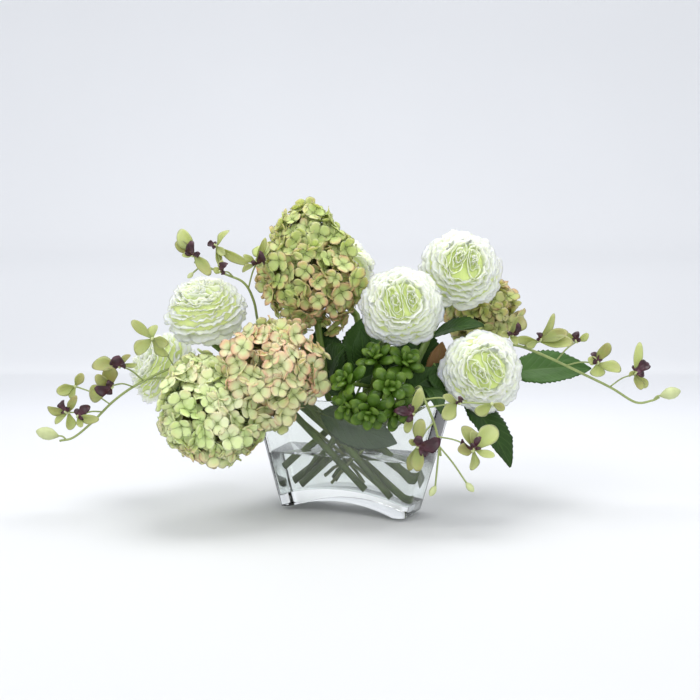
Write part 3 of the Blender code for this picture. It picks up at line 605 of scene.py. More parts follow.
def finish_clear(item, material, node):
    modifier = item.modifiers.new("edges", "BEVEL")
    modifier.width = 0.0009
    modifier.segments = 3
    modifier.limit_method = "ANGLE"
    modifier.angle_limit = math.radians(40)
    modifier.harden_normals = False
    apply_modifiers(item)
    item.data.materials.clear()
    item.data.materials.append(material)
    item.data.shade_smooth()
    item.data.set_sharp_from_angle(angle=math.radians(35))
    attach(item, "root")
    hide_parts(node)


def build_vase(material):
    rings = [rounded_ring(vase_half_length(height), VASE_HALF_DEPTH, VASE_CORNER, height)
             for height in (0.0, VASE_HEIGHT)]
    vase = block_object("vase", rings)
    cut(vase, arc_block("arch", ARCH_HALF, 0.0, ARCH_RISE))
    cut(vase, hollow_block("hollow", VASE_WALL, VASE_HEIGHT + 10, 0.0))
    finish_clear(vase, material, "glass_vase")


def build_water(material):
    water = hollow_block("vase_water", VASE_WALL - WATER_OVERLAP, WATER_LEVEL, -WATER_OVERLAP)
    finish_clear(water, material, "water")


# Blooms

# Each tier of petals, from the rim in: radius and height of its own rim as shares of the
# bloom's radius, the slope of the petals there in degrees, and how many they are.
BLOOM_TIERS = [
    (1.00, -0.20, -14, 8),
    (0.95, -0.05, 0, 8),
    (0.88, 0.09, 13, 8),
    (0.80, 0.21, 25, 7),
    (0.72, 0.31, 38, 7),
    (0.64, 0.39, 50, 6),
    (0.56, 0.45, 62, 6),
    (0.49, 0.48, 74, 5),
]
SKIRT_TIERS = [(0.80, -0.66, -80, 7), (0.95, -0.44, -55, 8)]
PETAL_ROWS = np.array([0.0, 0.30, 0.52, 0.68, 0.80, 0.89, 0.95, 1.0])[:, None]

# The bloom's full inside, which the petals grow out of: radius and height of its rings.
BLOOM_DOME = [(0.16, -0.60), (0.50, -0.44), (0.82, -0.27), (0.85, -0.12), (0.76, 0.05),
              (0.62, 0.19), (0.46, 0.29), (0.26, 0.34), (0.05, 0.35)]


def ranunculus_bloom(name, centre, facing, size, kind, material, seed, node):
    """A full bloom: tiers of wide overlapping petals, then folded ones round its hearts."""
    rng = random.Random(seed)
    hearts, skirt, roll = kind
    rotation = frame_on(facing, math.radians(roll))
    scale = BLOOM_RADIUS * size
    piece = Piece(name)
    tiers = (SKIRT_TIERS if skirt else []) + BLOOM_TIERS
    for number, tier in enumerate(tiers):
        petals = tier[3]
        start = rng.uniform(0, 1)
        # How deep the tier lies; it raises the chance mark, so deeper petals take the darker,
        # greener tint, partly the bloom's heart and partly painted shade.
        inner = max(0.0, (number - len(tiers) + len(BLOOM_TIERS)) / len(BLOOM_TIERS))
        for petal in range(petals):
            turn = 2 * math.pi * (petal + start + rng.uniform(-0.14, 0.14)) / petals
            sheet, along, across = bloom_petal(rng, tier, turn)
            piece.blade(centre + sheet * scale @ rotation.T, along, across,
                        0.80 * inner + rng.uniform(0, 0.20), 0.5)
    for number in range(hearts):
        turn = 2 * math.pi * (number + rng.uniform(-0.06, 0.06)) / hearts
        middle = (0.19 if hearts < 3 else 0.23) * rng.uniform(0.9, 1.1)
        span = (0.40 if hearts < 3 else 0.28) * rng.uniform(0.9, 1.1)
        for sheet, along, across in heart_petals(rng, turn, middle, span):
            piece.blade(centre + sheet * scale @ rotation.T, along, across,
                        0.55 + rng.uniform(0, 0.3), 0.5)
    around = 2 * math.pi * np.arange(22) / 22
    rings = []
    for radius, height in BLOOM_DOME:
        ring = np.stack([radius * np.cos(around), radius * np.sin(around),
                         height + 0 * around], axis=-1)
        rings.append(centre + ring * scale @ rotation.T)
    # The dome takes the darkest, greenest tint, chance 1.0: partly the bloom's green inside, partly
    # painted shade deep in the bloom.
    piece.lathe(np.array(rings), np.full(len(rings), 0.55), 1.0)
    return piece.build([material], "ranunculus", node)


def bloom_petal(rng, tier, turn, columns=25):
    """One wide petal: out from the bloom's foot, then up or over to its waved rim."""
    rim_radius, rim_height, slope, petals = tier
    v = np.linspace(-1, 1, columns)[None, :]
    rim_radius = rim_radius * rng.uniform(0.95, 1.03)
    rim_height = rim_height + rng.uniform(-0.035, 0.035)
    slope = math.radians(slope + rng.uniform(-11, 11))
    scallop = ripple(rng, 3, 0.020)
    fringe = ripple(rng, 7, 0.010)
    crimp = ripple(rng, 6, 0.013)
    sway = ripple(rng, 2, 0.022)
    reach = PETAL_ROWS * (1 - 0.16 * np.abs(v) ** 3 + scallop(v) * PETAL_ROWS ** 2
                          + fringe(v) * PETAL_ROWS ** 5)
    out = (math.cos(slope), math.sin(slope))
    bend = (rim_radius - 0.40 * out[0], rim_height - 0.40 * out[1])
    foot = (0.14, -0.44)
    parts = ((1 - reach) ** 2, 2 * reach * (1 - reach), reach ** 2)
    radius = parts[0] * foot[0] + parts[1] * bend[0] + parts[2] * rim_radius
    height = parts[0] * foot[1] + parts[1] * bend[1] + parts[2] * rim_height
    wave = (0.028 * v * reach + sway(v) * reach ** 3 + crimp(v) * reach ** 7
            - 0.030 * reach ** 10)
    radius = (radius - out[1] * wave) * (1 - 0.06 * v ** 2 * reach)
    height = height + out[0] * wave
    angle = turn + v * math.pi / petals * 1.36 * (0.45 + 0.55 * reach ** 0.7)
    sheet = np.stack([radius * np.cos(angle), radius * np.sin(angle), height + 0 * angle],
                     axis=-1)
    return sheet, np.clip(reach, 0, 1), v + 0 * reach


def heart_petals(rng, turn, middle, span, columns=21):
    """Upright petals nested round one long narrow hollow."""
    v = np.linspace(-1, 1, columns)[None, :]
    for ring in range(3):
        start = rng.uniform(0, 1)
        for petal in range(3):
            scallop = ripple(rng, 3, 0.035)
            crimp = ripple(rng, 4, 0.014)
            sway = ripple(rng, 2, 0.024)
            reach = PETAL_ROWS * (1 - 0.12 * np.abs(v) ** 2.6 + scallop(v))
            around = 2 * math.pi * (petal + start) / 3 + v * 1.35
            width = span * (0.26 + 0.32 * ring) * (0.84 + 0.16 * reach) * (1 + 0.10 * v)
            x = width * np.cos(around) * 0.44 + rng.uniform(-0.02, 0.02)
            y = width * np.sin(around) * 1.16 + rng.uniform(-0.04, 0.04)
            top = 0.58 - 0.03 * ring + rng.uniform(-0.05, 0.03)
            height = 0.20 + (top - 0.20) * reach + crimp(v) * reach ** 6
            x = x + middle + (sway(v) + crimp(v * 0.7)) * reach ** 3
            sheet = np.stack([x * math.cos(turn) - y * math.sin(turn),
                              x * math.sin(turn) + y * math.cos(turn),
                              height - 0.34 * (x ** 2 + y ** 2)], axis=-1)
            yield sheet, 0.30 + 0.66 * np.clip(reach, 0, 1) ** 1.4, v + 0 * reach


# Hydrangea heads

def rounded_petal(length, width, root, rows=7, columns=7):
    """Places over a petal with a round rim: x, y, share of its length and nearness to its rim.

    The root is how wide the petal starts, as a share of its full width.
    """
    u = np.linspace(-1, 1, rows)[:, None]
    v = np.linspace(-1, 1, columns)[None, :]
    share = (1 + u * np.sqrt(1 - v * v / 2)) / 2
    widening = np.clip(share / 0.62, 0, 1)
    widening = root + (1 - root) * widening ** 2 * (3 - 2 * widening)
    y = v * np.sqrt(1 - u * u / 2) * width / 2 * widening
    return share * length, y, share, np.maximum(np.abs(u), np.abs(v))


def floret(piece, rng, spot, normal, radius, pinkness, root, slot=0):
    """Four rounded petals round a bead, on a thin stalk down to the head's core."""
    rotation = frame_on(normal, rng.uniform(0, math.pi))
    cup = rng.uniform(-0.05, 0.42)
    for petal in range(4):
        turn = math.pi / 2 * petal + rng.uniform(-0.14, 0.14)
        length = radius * rng.uniform(0.88, 1.08)
        x, y, share, rim = rounded_petal(length, length * rng.uniform(0.96, 1.14), 0.42, 6, 6)
        lift = cup + rng.uniform(-0.16, 0.18)
        ruffle = 0.045 * np.sin(9 * y / length + rng.uniform(0, 6)) * rim ** 3
        z = (lift * share ** 1.6 + 0.22 * (y / length) ** 2 + ruffle) * length
        z = z + (0.05 if petal % 2 else 0.0) * radius * share
        cos, sin = math.cos(turn), math.sin(turn)
        grid = np.stack([x * cos - y * sin, x * sin + y * cos, z], axis=-1)
        chance = np.clip(pinkness + rng.uniform(-0.30, 0.30), 0, 1)
        piece.blade(spot + grid @ rotation.T, share, rim, chance, 0.4, slot)
    bead = np.array([[0, 0, -0.4], [0, 0, 0.2], [0, 0, 0.9], [0, 0, 1.4]])
    piece.tube(spot + bead @ rotation.T, [0.5, 1.1, 1.0, 0.3], 6, 0.2, 1)
    piece.tube([spot, spot * 0.6 + root * 0.4, root], [0.7, 0.6, 0.8], 3, 0.5, 1)


def inside_lobe(spot, lobe, grow):
    centre, half = lobe
    return np.sum(((spot - centre) / (half * grow)) ** 2) < 1


def spiral_way(index, count, start):
    """One of many ways spread evenly over a ball."""
    height = 1 - 2 * (index + 0.5) / count
    ring = math.sqrt(1 - height * height)
    angle = index * GOLDEN_ANGLE + start
    return np.array([ring * math.cos(angle), ring * math.sin(angle), height])


def hydrangea_head(name, lobes, neck, materials, seed, clear_of, node, pinkness):
    """Rounded clusters of florets, side by side over each lobe, round a dark core that is painted
    shade for the head's inside.
    """
    rng = random.Random(seed)
    piece = Piece(name)
    for number, lobe in enumerate(lobes):
        centre, half = lobe
        others = [other for index, other in enumerate(lobes) if index != number]
        count = int(round(4 * math.pi * half.mean() ** 2 / CLUSTER_AREA))
        for index in range(count):
            way = unit(spiral_way(index, count, number + seed)
                       + [rng.uniform(-0.12, 0.12) for _ in range(3)])
            radius = CLUSTER_RADIUS * rng.uniform(0.86, 1.12)
            reach = 1 - radius / half.mean() + rng.uniform(-0.16, 0.10)
            middle = centre + way * half * reach
            cluster_turn = frame_on(unit(way / half), rng.uniform(0, 6))
            for place_number in range(7):
                lean = math.radians(rng.uniform(46, 72) if place_number else rng.uniform(0, 18))
                turn = 2 * math.pi * (place_number + rng.uniform(-0.22, 0.22)) / 6
                direction = cluster_turn @ np.array([math.sin(lean) * math.cos(turn),
                                                     math.sin(lean) * math.sin(turn),
                                                     math.cos(lean)])
                spot = middle + direction * radius * rng.uniform(0.74, 1.16)
                if np.linalg.norm(spot - neck) < 17:
                    continue
                if any(inside_lobe(spot, other, 0.86) for other in others):
                    continue
                if any(inside_lobe(spot, other, 0.94) for other in clear_of):
                    continue
                normal = direction + [rng.uniform(-0.40, 0.40) for _ in range(3)]
                petal = FLORET_RADIUS * rng.uniform(0.74, 1.04)
                floret(piece, rng, spot, normal, petal, pinkness(spot), middle)
            piece.tube([centre + (middle - centre) * 0.4, middle, middle + way * 6],
                       [1.6, 1.3, 0.9], 5, 0.5, 1)
        # A dark shell inside each lobe: painted shade seen through the gaps between the clusters.
        rings = []
        for step in range(1, 12):
            polar = math.pi * step / 12
            around = 2 * math.pi * np.arange(18) / 18
            shell = np.stack([np.sin(polar) * np.cos(around), np.sin(polar) * np.sin(around),
                              0 * around - np.cos(polar)], axis=-1)
            rings.append(centre + shell * half * 0.60)
        piece.lathe(np.array(rings), np.linspace(0, 1, 11), 0.0, 2)
    piece.tube([neck, neck * 0.5 + lobes[0][0] * 0.5], [6.5, 5.5], 10, 0.5, 1)
    return piece.build(materials, "hydrangea", node)


# Orchids

PETAL_FULLNESS = 1.22


def petal_frame(angle, length):
    """Axes of a petal: the way it points, across it, and the way it faces.

    Its angle is the one seen from the front. It leans to or from the front and rolls
    about its own length by amounts that follow from its angle and length.
    """
    turn = math.radians(angle)
    lean = math.radians(8 + 24 * math.sin(1.7 * angle + length))
    roll = math.radians(34 * math.sin(2.9 * angle + 0.7 * length))
    way = place(math.cos(turn) * math.cos(lean), -math.sin(lean),
                math.sin(turn) * math.cos(lean))
    face = unit(place(0, -1, 0) - way * -way[1])
    side = np.cross(face, way)
    return (way, side * math.cos(roll) - face * math.sin(roll),
            face * math.cos(roll) + side * math.sin(roll))


def orchid_petal(piece, rng, hub, angle, length, width):
    """A spoon-shaped petal with a round tip, folded a little along its middle."""
    way, side, face = petal_frame(angle, length)
    x, y, share, rim = rounded_petal(length, width * PETAL_FULLNESS, 0.40, 11, 7)
    curl = rng.uniform(-0.24, 0.26)
    z = curl * share ** 2 * length + 0.9 * y ** 2 / width
    z = z + 0.03 * length * np.sin(7 * share + rng.uniform(0, 6)) * rim ** 2
    grid = hub + x[..., None] * way + y[..., None] * side + z[..., None] * face
    piece.blade(grid, share, y / width * 2, rng.random(), 0.6)


def orchid_lip(piece, rng, hub, angle, length, width):
    """A dark frilled lip with a lobe at each side of its throat, and the column above."""
    way, side, face = petal_frame(angle, length)
    throat = hub + face * 1.6
    for turn, reach, broad in ((0.0, 1.0, 1.0), (0.95, 0.52, 0.62), (-0.95, 0.52, 0.62)):
        cos, sin = math.cos(turn), math.sin(turn)
        x, y, share, rim = rounded_petal(length * reach, width * broad, 0.34, 9, 9)
        z = length * reach * (0.34 * np.sin(share * math.pi * 0.85)) + 1.3 * y ** 2 / width
        z = z + 0.05 * length * np.sin(16 * y / width + rng.uniform(0, 6)) * rim ** 2
        along, across = x * cos - y * sin, x * sin + y * cos
        grid = throat + along[..., None] * way + across[..., None] * side + z[..., None] * face
        piece.blade(grid, share, rim, rng.random(), 0.8, 1)
    path = [hub, throat + face * 2 - way * 0.5, throat + face * 4.5 + way * 1.5]
    piece.tube(smooth_path(path, 3), np.linspace(1.7, 1.0, 7), 8, 0.5, 3)


def orchid_flower(piece, rng, node, hub, petals, lips):
    """Petals and lips round a small hub, on a thin stalk from the spray."""
    for angle, length, width in petals:
        orchid_petal(piece, rng, hub, angle, length, width)
    for angle, length, width in lips:
        orchid_lip(piece, rng, hub, angle, length, width)
    hub_path = [hub + place(0, y, 0) for y in (-2.0, -1.2, 0.4, 1.8, 2.6)]
    piece.tube(hub_path, [0.6, 1.7, 2.2, 1.7, 0.8], 8, 0.3, 3)
    middle = (node + hub) / 2 + place(0, 0, 3)
    piece.tube(smooth_path([node, middle, hub + place(0, 1.5, 0)], 5), 0.95, 6, 0.5, 2)


def orchid_bud(piece, node, root, direction, size):
    direction = unit(direction)
    length = 17 * size
    path = [root + direction * length * t for t in (0, 0.15, 0.35, 0.6, 0.8, 0.95, 1.0)]
    piece.tube(path, np.array([1.0, 2.8, 4.7, 5.0, 3.8, 1.8, 0.4]) * size, 10, 0.2, 3)
    middle = (node + root) / 2 + place(0, 0, 2)
    piece.tube(smooth_path([node, middle, root + direction * 1.5], 4), 1.0, 6, 0.5, 2)


# Succulent

def plump_leaf(piece, rng, root, rotation, length, width, thickness):
    """A thick spoon-shaped leaf, flatter on its upper side, with a short blunt point."""
    shares = np.array([0.0, 0.10, 0.25, 0.42, 0.58, 0.72, 0.84, 0.93, 0.98, 1.0])
    widths = np.array([0.34, 0.44, 0.64, 0.86, 0.98, 1.0, 0.86, 0.58, 0.28, 0.06])
    depths = np.array([0.60, 0.72, 0.90, 1.0, 1.0, 0.92, 0.74, 0.48, 0.24, 0.06])
    angles = 2 * math.pi * np.arange(12) / 12
    rings = []
    for share, girth, depth in zip(shares, widths, depths):
        high = np.where(np.sin(angles) > 0, 1.25, 0.55)
        ring = np.stack([width / 2 * girth * np.cos(angles),
                         thickness / 2 * depth * np.sin(angles) * high - 0.14 * length * share ** 2,
                         np.full(12, share * length)], axis=-1)
        rings.append(root + ring @ rotation.T)
    piece.lathe(np.array(rings), shares, rng.random())


def rosette(piece, centre, facing, rng, leaves=13):
    base = frame_on(facing, rng.uniform(0, 6))
    for index in range(leaves):
        share = index / (leaves - 1)
        lean = math.radians(84 - 74 * share ** 0.85)
        length = (ROSETTE_LEAF - 11.0 * share ** 1.5) * rng.uniform(0.92, 1.08)
        turn = np.array(Matrix.Rotation(index * GOLDEN_ANGLE, 3, "Z"))
        tip = np.array(Matrix.Rotation(lean, 3, "X"))
        rotation = base @ turn @ tip
        root = centre + rotation[:, 2] * 1.5 + base[:, 2] * (4.5 * share - 2)
        plump_leaf(piece, rng, root, rotation, length, length * 0.58, length * 0.30)


# Leaves and stems

def serrated_leaf(piece, rng, base, tip, face, width, arch, slot=1, fold=0.22, teeth=17,
                  thickness=0.8, flat=False):
    """A pointed oval leaf with a toothed edge, raised between its side veins."""
    base, tip, face = (np.asarray(value, dtype=float) for value in (base, tip, face))
    along = tip - base
    normal = unit(face - along * face.dot(along) / along.dot(along))
    side = unit(np.cross(along, normal))
    rows, columns = teeth * 3 + 1, 15
    u = np.linspace(0, 1, rows)[:, None]
    v = np.linspace(-1, 1, columns)[None, :]
    outline = np.sin(math.pi * np.clip(u, 0.004, 0.996) ** 0.85) ** 0.8
    saw = 1 + 0.055 * (np.mod(u * teeth, 1.0) - 0.5) * 2
    half_width = width / 2 * outline * (1 + (saw - 1) * np.abs(v) ** 6)
    waviness = ripple(rng, 3, 0.02)
    quilt = 0.45 * np.abs(np.sin(math.pi * (9 * u - 2.4 * np.abs(v)))) * (1 - np.abs(v) ** 2)
    quilt = quilt * outline * (0 if flat else 1)
    lift = (arch * np.sin(math.pi * u) + fold * np.abs(v) * half_width + quilt
            + waviness(v + u) * width * (0 if flat else 1) * np.abs(v))
    grid = (base + along * u[..., None] + side * (v * half_width)[..., None]
            + normal * lift[..., None])
    piece.blade(grid, u + 0 * v, v + 0 * u, rng.random(), thickness, slot)


def leaf_with_stalk(piece, rng, root, base, tip, face, width, arch, slot):
    base, tip = place(*base), place(*tip)
    lean = np.linalg.norm(base - root) * 0.15
    middle = (root + base) / 2 + place(0, 0, lean)
    piece.tube(smooth_path([root, middle, base, base + (tip - base) * 0.12], 4),
               np.linspace(1.7, 0.9, 13), 8, 0.5, 0)
    serrated_leaf(piece, rng, base, tip, face, width, arch, slot)


# Placing of the pieces, in millimetres from the middle of the vase's foot

# Each bloom: centre, the way it faces and its share of the full size.
BLOOMS = {
    "a": (place(58, -45, 240), (0.02, -0.95, 0.28), 0.98),
    "b": (place(133, 15, 283), (0.06, -0.93, 0.32), 1.03),
    "c": (place(148, -55, 166), (0.08, -0.97, 0.14), 0.97),
    "d": (place(-170, -5, 239), (-0.10, -0.50, 0.86), 1.00),
    "e": (place(-15, 98, 292), (0.05, 0.70, 0.70), 0.96),
    "f": (place(-238, 50, 165), (-0.75, -0.45, 0.45), 0.96),
}

# How many hearts each bloom has, whether its lowest petals hang down, and its roll.
BLOOM_KINDS = {"a": (2, False, 8), "b": (2, False, -14), "c": (2, False, 20),
               "d": (2, True, 80), "e": (3, True, 0), "f": (2, True, 30)}

# Each head: the centres and half sizes of its rounded lobes, the way from its first lobe
# to its stem, and how far out along that way the stem ends.
HEADS = {
    "upper": ([(place(-47, 5, 272), place(61, 52, 64)), (place(-51, 5, 319), place(38, 35, 38))],
              (0.15, 0.10, -1.0), 0.80),
    "front": ([(place(-89, -60, 165), place(59, 50, 60))], (0.37, 0.89, -0.28), 0.84),
    "left": ([(place(-156, -70, 118), place(60, 50, 50)),
              (place(-166, -46, 147), place(40, 36, 36))], (0.49, 0.81, 0.30), 0.84),
    "right": ([(place(168, 88, 232), place(46, 42, 46))], (-0.30, -0.45, -0.84), 0.80),
}

# Each stem: lane, foot along the vase and its height, place along the rim, places beyond.
STEMS = {
    "left": (0, (30, 28), -85, [(-104, 8, 138), (-122, -14, 139)]),
    "front": (0, (62, 22), -50, [(-60, -2, 140)]),
    "succulent": (1, (-50, 40), 30, [(22, -38, 141), (24, -52, 148)]),
    "orchid_front": (1, (-15, 31), 78, [(69, -57, 141), (76, -75, 150), (80, -92, 138),
                                        (91, -98, 109), (97, -98, 78)]),
    "orchid_left": (2, (52, 25), -104, [(-135, 28, 150), (-175, 12, 164), (-206, 0, 166),
                                        (-247, -10, 147), (-274, -15, 128), (-299, -18, 103),
                                        (-320, -20, 86), (-336, -20, 82)]),
    "d": (2, (76, 19), -78, [(-105, 26, 160), (-145, 26, 178)]),
    "a": (3, (-83, 42), 22, [(30, -6, 165), (47, 10, 198)]),
    "c": (3, (-60, 24), 66, [(85, -22, 145), (120, -10, 154)]),
    "orchid_upper": (4, (20, 31), -72, [(-88, 30, 172), (-108, 22, 212), (-113, 5, 243),
                                        (-122, -12, 264), (-142, -20, 274), (-178, -22, 288)]),
    "upper": (4, (82, 34), -30, [(-32, 14, 170)]),
    "e": (5, (-51, 40), 15, [(18, 25, 180), (8, 56, 226)]),
    "b": (5, (-20, 31), 58, [(78, 5, 170), (103, 35, 215)]),
    "f": (6, (75, 38), -100, [(-120, 66, 148), (-165, 76, 142)]),
    "right": (7, (-79, 23), 85, [(112, 12, 152), (138, 48, 172)]),
    "orchid_right": (7, (-37, 31), 104, [(130, 15, 160), (162, 15, 182), (190, 6, 192),
                                         (223, 2, 182), (285, 5, 153), (311, 5, 140),
                                         (338, 5, 124), (357, 5, 126), (366, 5, 130)]),
}

# Leaves on each stem: share of the stem at the stalk's root, base, tip, the way the
# blade faces, width and arch.
LEAVES = {
    "c": [(0.60, (132, -22, 134), (178, -66, 60), (0.5, -0.7, 0.45), 48, 5),
          (0.35, (86, -38, 146), (98, -90, 122), (0.2, -0.5, 0.8), 22, 6),
          (0.30, (97, -18, 150), (106, -24, 197), (-0.1, -1.0, 0.2), 26, 3),
          (0.42, (96, -30, 172), (116, -40, 136), (0.1, -1.0, 0.2), 36, 3),
          (0.26, (62, -38, 140), (104, -36, 166), (0.0, -1.0, 0.0), 34, 2)],
    "b": [(0.55, (98, -2, 203), (152, -34, 216), (0.0, -0.5, 0.85), 40, 4),
          (0.62, (90, 54, 205), (76, 120, 214), (0.0, -0.3, 0.95), 50, 8),
          (0.35, (82, 22, 150), (78, 32, 222), (0.0, -1.0, 0.1), 56, 4)],
    "e": [(0.35, (14, 28, 150), (20, 38, 226), (0.0, -1.0, 0.1), 58, 4)],
    "a": [(0.56, (18, -14, 162), (12, -30, 212), (0.0, -1.0, 0.2), 28, 4),
          (0.50, (8, -26, 152), (66, -30, 178), (0.0, -1.0, 0.1), 44, 3),
          (0.30, (6, -38, 135), (-30, -44, 150), (0.0, -0.9, 0.4), 26, 2)],
    "upper": [(0.57, (-24, -2, 160), (-5, -40, 192), (0.0, -0.8, 0.6), 42, 4),
              (0.62, (-48, 40, 168), (-72, 112, 164), (0.0, 0.1, 1.0), 58, 10),
             (0.40, (-28, 20, 146), (-34, 26, 214), (0.0, -1.0, 0.1), 54, 4)],
    "right": [(0.60, (192, 32, 156), (292, 30, 162), (0.0, -0.75, 0.65), 50, 6),
              (0.74, (142, 72, 160), (176, 136, 146), (0.0, 0.1, 1.0), 54, 10)],
    "f": [(0.70, (-148, 92, 146), (-186, 142, 122), (0.1, 0.3, 0.95), 52, 8)],
    "orchid_left": [(0.50, (-182, 6, 156), (-208, 2, 128), (-0.3, -0.9, 0.3), 24, 2)],
}

# Leaves that aren't dark green: 2 for a brown one, 3 for a lighter green one.
LEAF_KINDS = {("c", 2): 2, ("right", 0): 3, ("e", 0): 3}

# The broad leaf that lies flat against the inside of the glass, above the water.
INSIDE_LEAF_ROOT = 0.11
INSIDE_LEAF_BASE = (-26, 113)
INSIDE_LEAF_TIP = (70, 84)
INSIDE_LEAF_ACROSS = -24.3
INSIDE_LEAF_WIDTH = 50

# Orchid blooms on each spray: the hub of each, its petals and its lips. A petal or a lip is
# given by its angle as seen from the front, in degrees, its length and its width.
ORCHIDS = {
    "left": [
        ((-223, -40, 201),
         [(140, 30, 10), (85, 17, 12), (-15, 22, 11), (221, 26, 15), (-57, 27, 13)],
         []),
        ((-261, -36, 170),
         [(10, 19, 6), (55, 17, 8), (172, 30, 16)],
         [(95, 15, 17)]),
        ((-269, -42, 148),
         [(207, 36, 17), (140, 22, 12), (100, 22, 15)],
         [(178, 20, 15)]),
        ((-314, -30, 146),
         [(195, 22, 12), (60, 17, 9), (-100, 16, 9)],
         []),
        ((-320, -36, 117),
         [(172, 25, 11), (215, 23, 9), (60, 25, 8), (-85, 23, 10)],
         [(105, 15, 11)]),
        ((-307, -44, 113),
         [(-5, 29, 10), (-60, 16, 7)],
         [(40, 18, 11)]),
    ],
    "upper": [
        ((-177, -30, 296),
         [(118, 32, 15), (147, 24, 11), (185, 14, 6), (-48, 32, 12)],
         [(85, 20, 11)]),
        ((-153, -20, 306),
         [(62, 24, 8), (-32, 42, 10), (-85, 23, 7), (-45, 16, 8)],
         [(170, 10, 8)]),
        ((-144, -34, 276),
         [(160, 11, 7), (95, 14, 7)],
         [(45, 14, 10)]),
        ((-106, -34, 286),
         [(145, 19, 7), (70, 32, 7), (-20, 11, 7), (205, 20, 7)],
         [(75, 19, 10)]),
    ],
    "right": [
        ((184, -20, 206),
         [(45, 29, 15), (-60, 16, 8), (200, 14, 9)],
         [(75, 19, 10)]),
        ((219, -10, 197),
         [(55, 38, 9), (172, 27, 10), (205, 16, 8), (20, 36, 14), (-5, 42, 14)],
         [(112, 10, 8)]),
        ((267, 2, 196),
         [(150, 19, 9), (35, 16, 8)],
         [(80, 12, 9)]),
        ((287, -12, 171),
         [(75, 30, 13), (150, 16, 9), (-80, 16, 15), (-15, 28, 14)],
         [(120, 14, 10)]),
        ((333, -6, 158),
         [(85, 38, 9), (150, 10, 9), (-42, 26, 9), (-85, 21, 12)],
         [(35, 20, 14)]),
    ],
    "front": [
        ((66, -112, 124),
         [(75, 30, 10), (-110, 21, 8)],
         [(170, 22, 11)]),
        ((71, -116, 92),
         [(82, 29, 12), (-108, 31, 9), (-90, 28, 12), (150, 12, 6)],
         [(25, 27, 17)]),
        ((131, -112, 87),
         [(112, 28, 15), (90, 21, 11), (44, 37, 18),
          (-25, 25, 9), (-100, 22, 11), (180, 23, 12)],
         [(133, 17, 8), (60, 15, 7)]),
        ((113, -108, 137),
         [(-135, 25, 14), (155, 21, 8)],
         [(95, 9, 7)]),
        ((151, -100, 134),
         [(-150, 21, 13), (-20, 15, 8)],
         []),
    ],
}

# Buds on each spray: place of the bud's root, the way it points and size.
BUDS = {
    "left": [((-336, -24, 88), (-1.0, -0.2, 0.28), 1.5)],
    "upper": [((-178, -28, 276), (-0.7, -0.2, -0.7), 0.55)],
    "right": [((366, 2, 132), (1.0, 0.0, 0.25), 1.45)],
    "front": [((91, -108, 48), (-0.5, -0.2, -0.8), 0.75),
              ((123, -106, 51), (0.6, -0.2, -0.7), 0.75)],
}

# Rosettes of the succulent cutting: centre and the way each faces.
ROSETTES = [
    ((0, -68, 154), (-0.6, -0.7, 0.40)),
    ((43, -78, 150), (0.1, -0.97, 0.2)),
    ((22, -84, 126), (-0.15, -0.9, -0.35)),
    ((60, -56, 172), (0.35, -0.75, 0.6)),
    ((30, -52, 176), (-0.2, -0.6, 0.8)),
    ((2, -68, 131), (-0.5, -0.8, -0.35)),
    ((48, -72, 126), (0.5, -0.8, -0.35)),
]


def stem_path(name, steps=6):
    """Straight inside the vase, then smooth through the places beyond its rim."""
    lane_number, foot, rim, beyond = STEMS[name]
    start = in_vase(foot[0], lane(lane_number), foot[1])
    mouth = in_vase(rim, lane(lane_number), VASE_HEIGHT)
    lead = mouth + (start - mouth) * 0.2
    curve = smooth_path([lead, mouth] + [place(*point) for point in beyond], steps)
    return np.concatenate([[start + (lead - start) * step / 5 for step in range(5)], curve])


def head_neck(name):
    lobes, toward, reach = HEADS[name]
    centre, half = lobes[0]
    way = unit(toward)
    surface = 1 / math.sqrt(np.sum((way / half) ** 2))
    return centre + way * surface * reach, way


def stem_of(name):
    path = stem_path(name)
    if name in BLOOMS:
        centre, facing, size = BLOOMS[name]
        way = -unit(facing)
        seat = centre + way * 0.60 * BLOOM_RADIUS * size
    elif name in HEADS:
        seat, way = head_neck(name)
    else:
        return path
    lead = smooth_path([path[-1], seat + way * 22, seat + way * 8, seat + way * 0.3], 5)
    return np.concatenate([path, lead[1:]])


def build_stems(paths, materials):
    for number, name in enumerate(list(BLOOMS) + list(HEADS)):
        rng = random.Random(200 + number)
        path = paths[name]
        tip = 7.0 if name in BLOOMS else 6.0
        kind = "ranunculus" if name in BLOOMS else "hydrangea"
        piece = Piece(f"{kind}_{name}_stem_fine")
        radii = np.full(len(path), STEM_RADIUS)
        radii[-4:] = np.interp(np.arange(4), [0, 3], [STEM_RADIUS, tip])
        piece.tube(path, radii, 14, rng.random(), 0, in_vase(0, 1, 0), STEM_BREADTH)
        for index, (share, base, leaf_tip, face, width, arch) in enumerate(LEAVES.get(name, [])):
            leaf_with_stalk(piece, rng, cad_share(name, share), base, leaf_tip, face, width, arch,
                            LEAF_KINDS.get((name, index), 1))
        if name == "front":
            inside_leaf(piece, rng, path)
        piece.build(materials, "foliage", f"{kind}_{name}_stem")


def cad_share(name, share):
    """The stalk's root, counted along the frame's own coarser path of the stem."""
    coarse = stem_path(name, 2)
    coarse = np.concatenate([coarse[:1], coarse[5 + 2:]])
    if name in BLOOMS or name in HEADS:
        if name in BLOOMS:
            centre, facing, size = BLOOMS[name]
            way = -unit(facing)
            seat = centre + way * 0.60 * BLOOM_RADIUS * size
        else:
            seat, way = head_neck(name)
        lead = smooth_path([coarse[-1], seat + way * 22, seat + way * 8], 2)
        coarse = np.concatenate([coarse, lead[1:], [seat + way * 0.3]])
    return along_path(coarse, share)


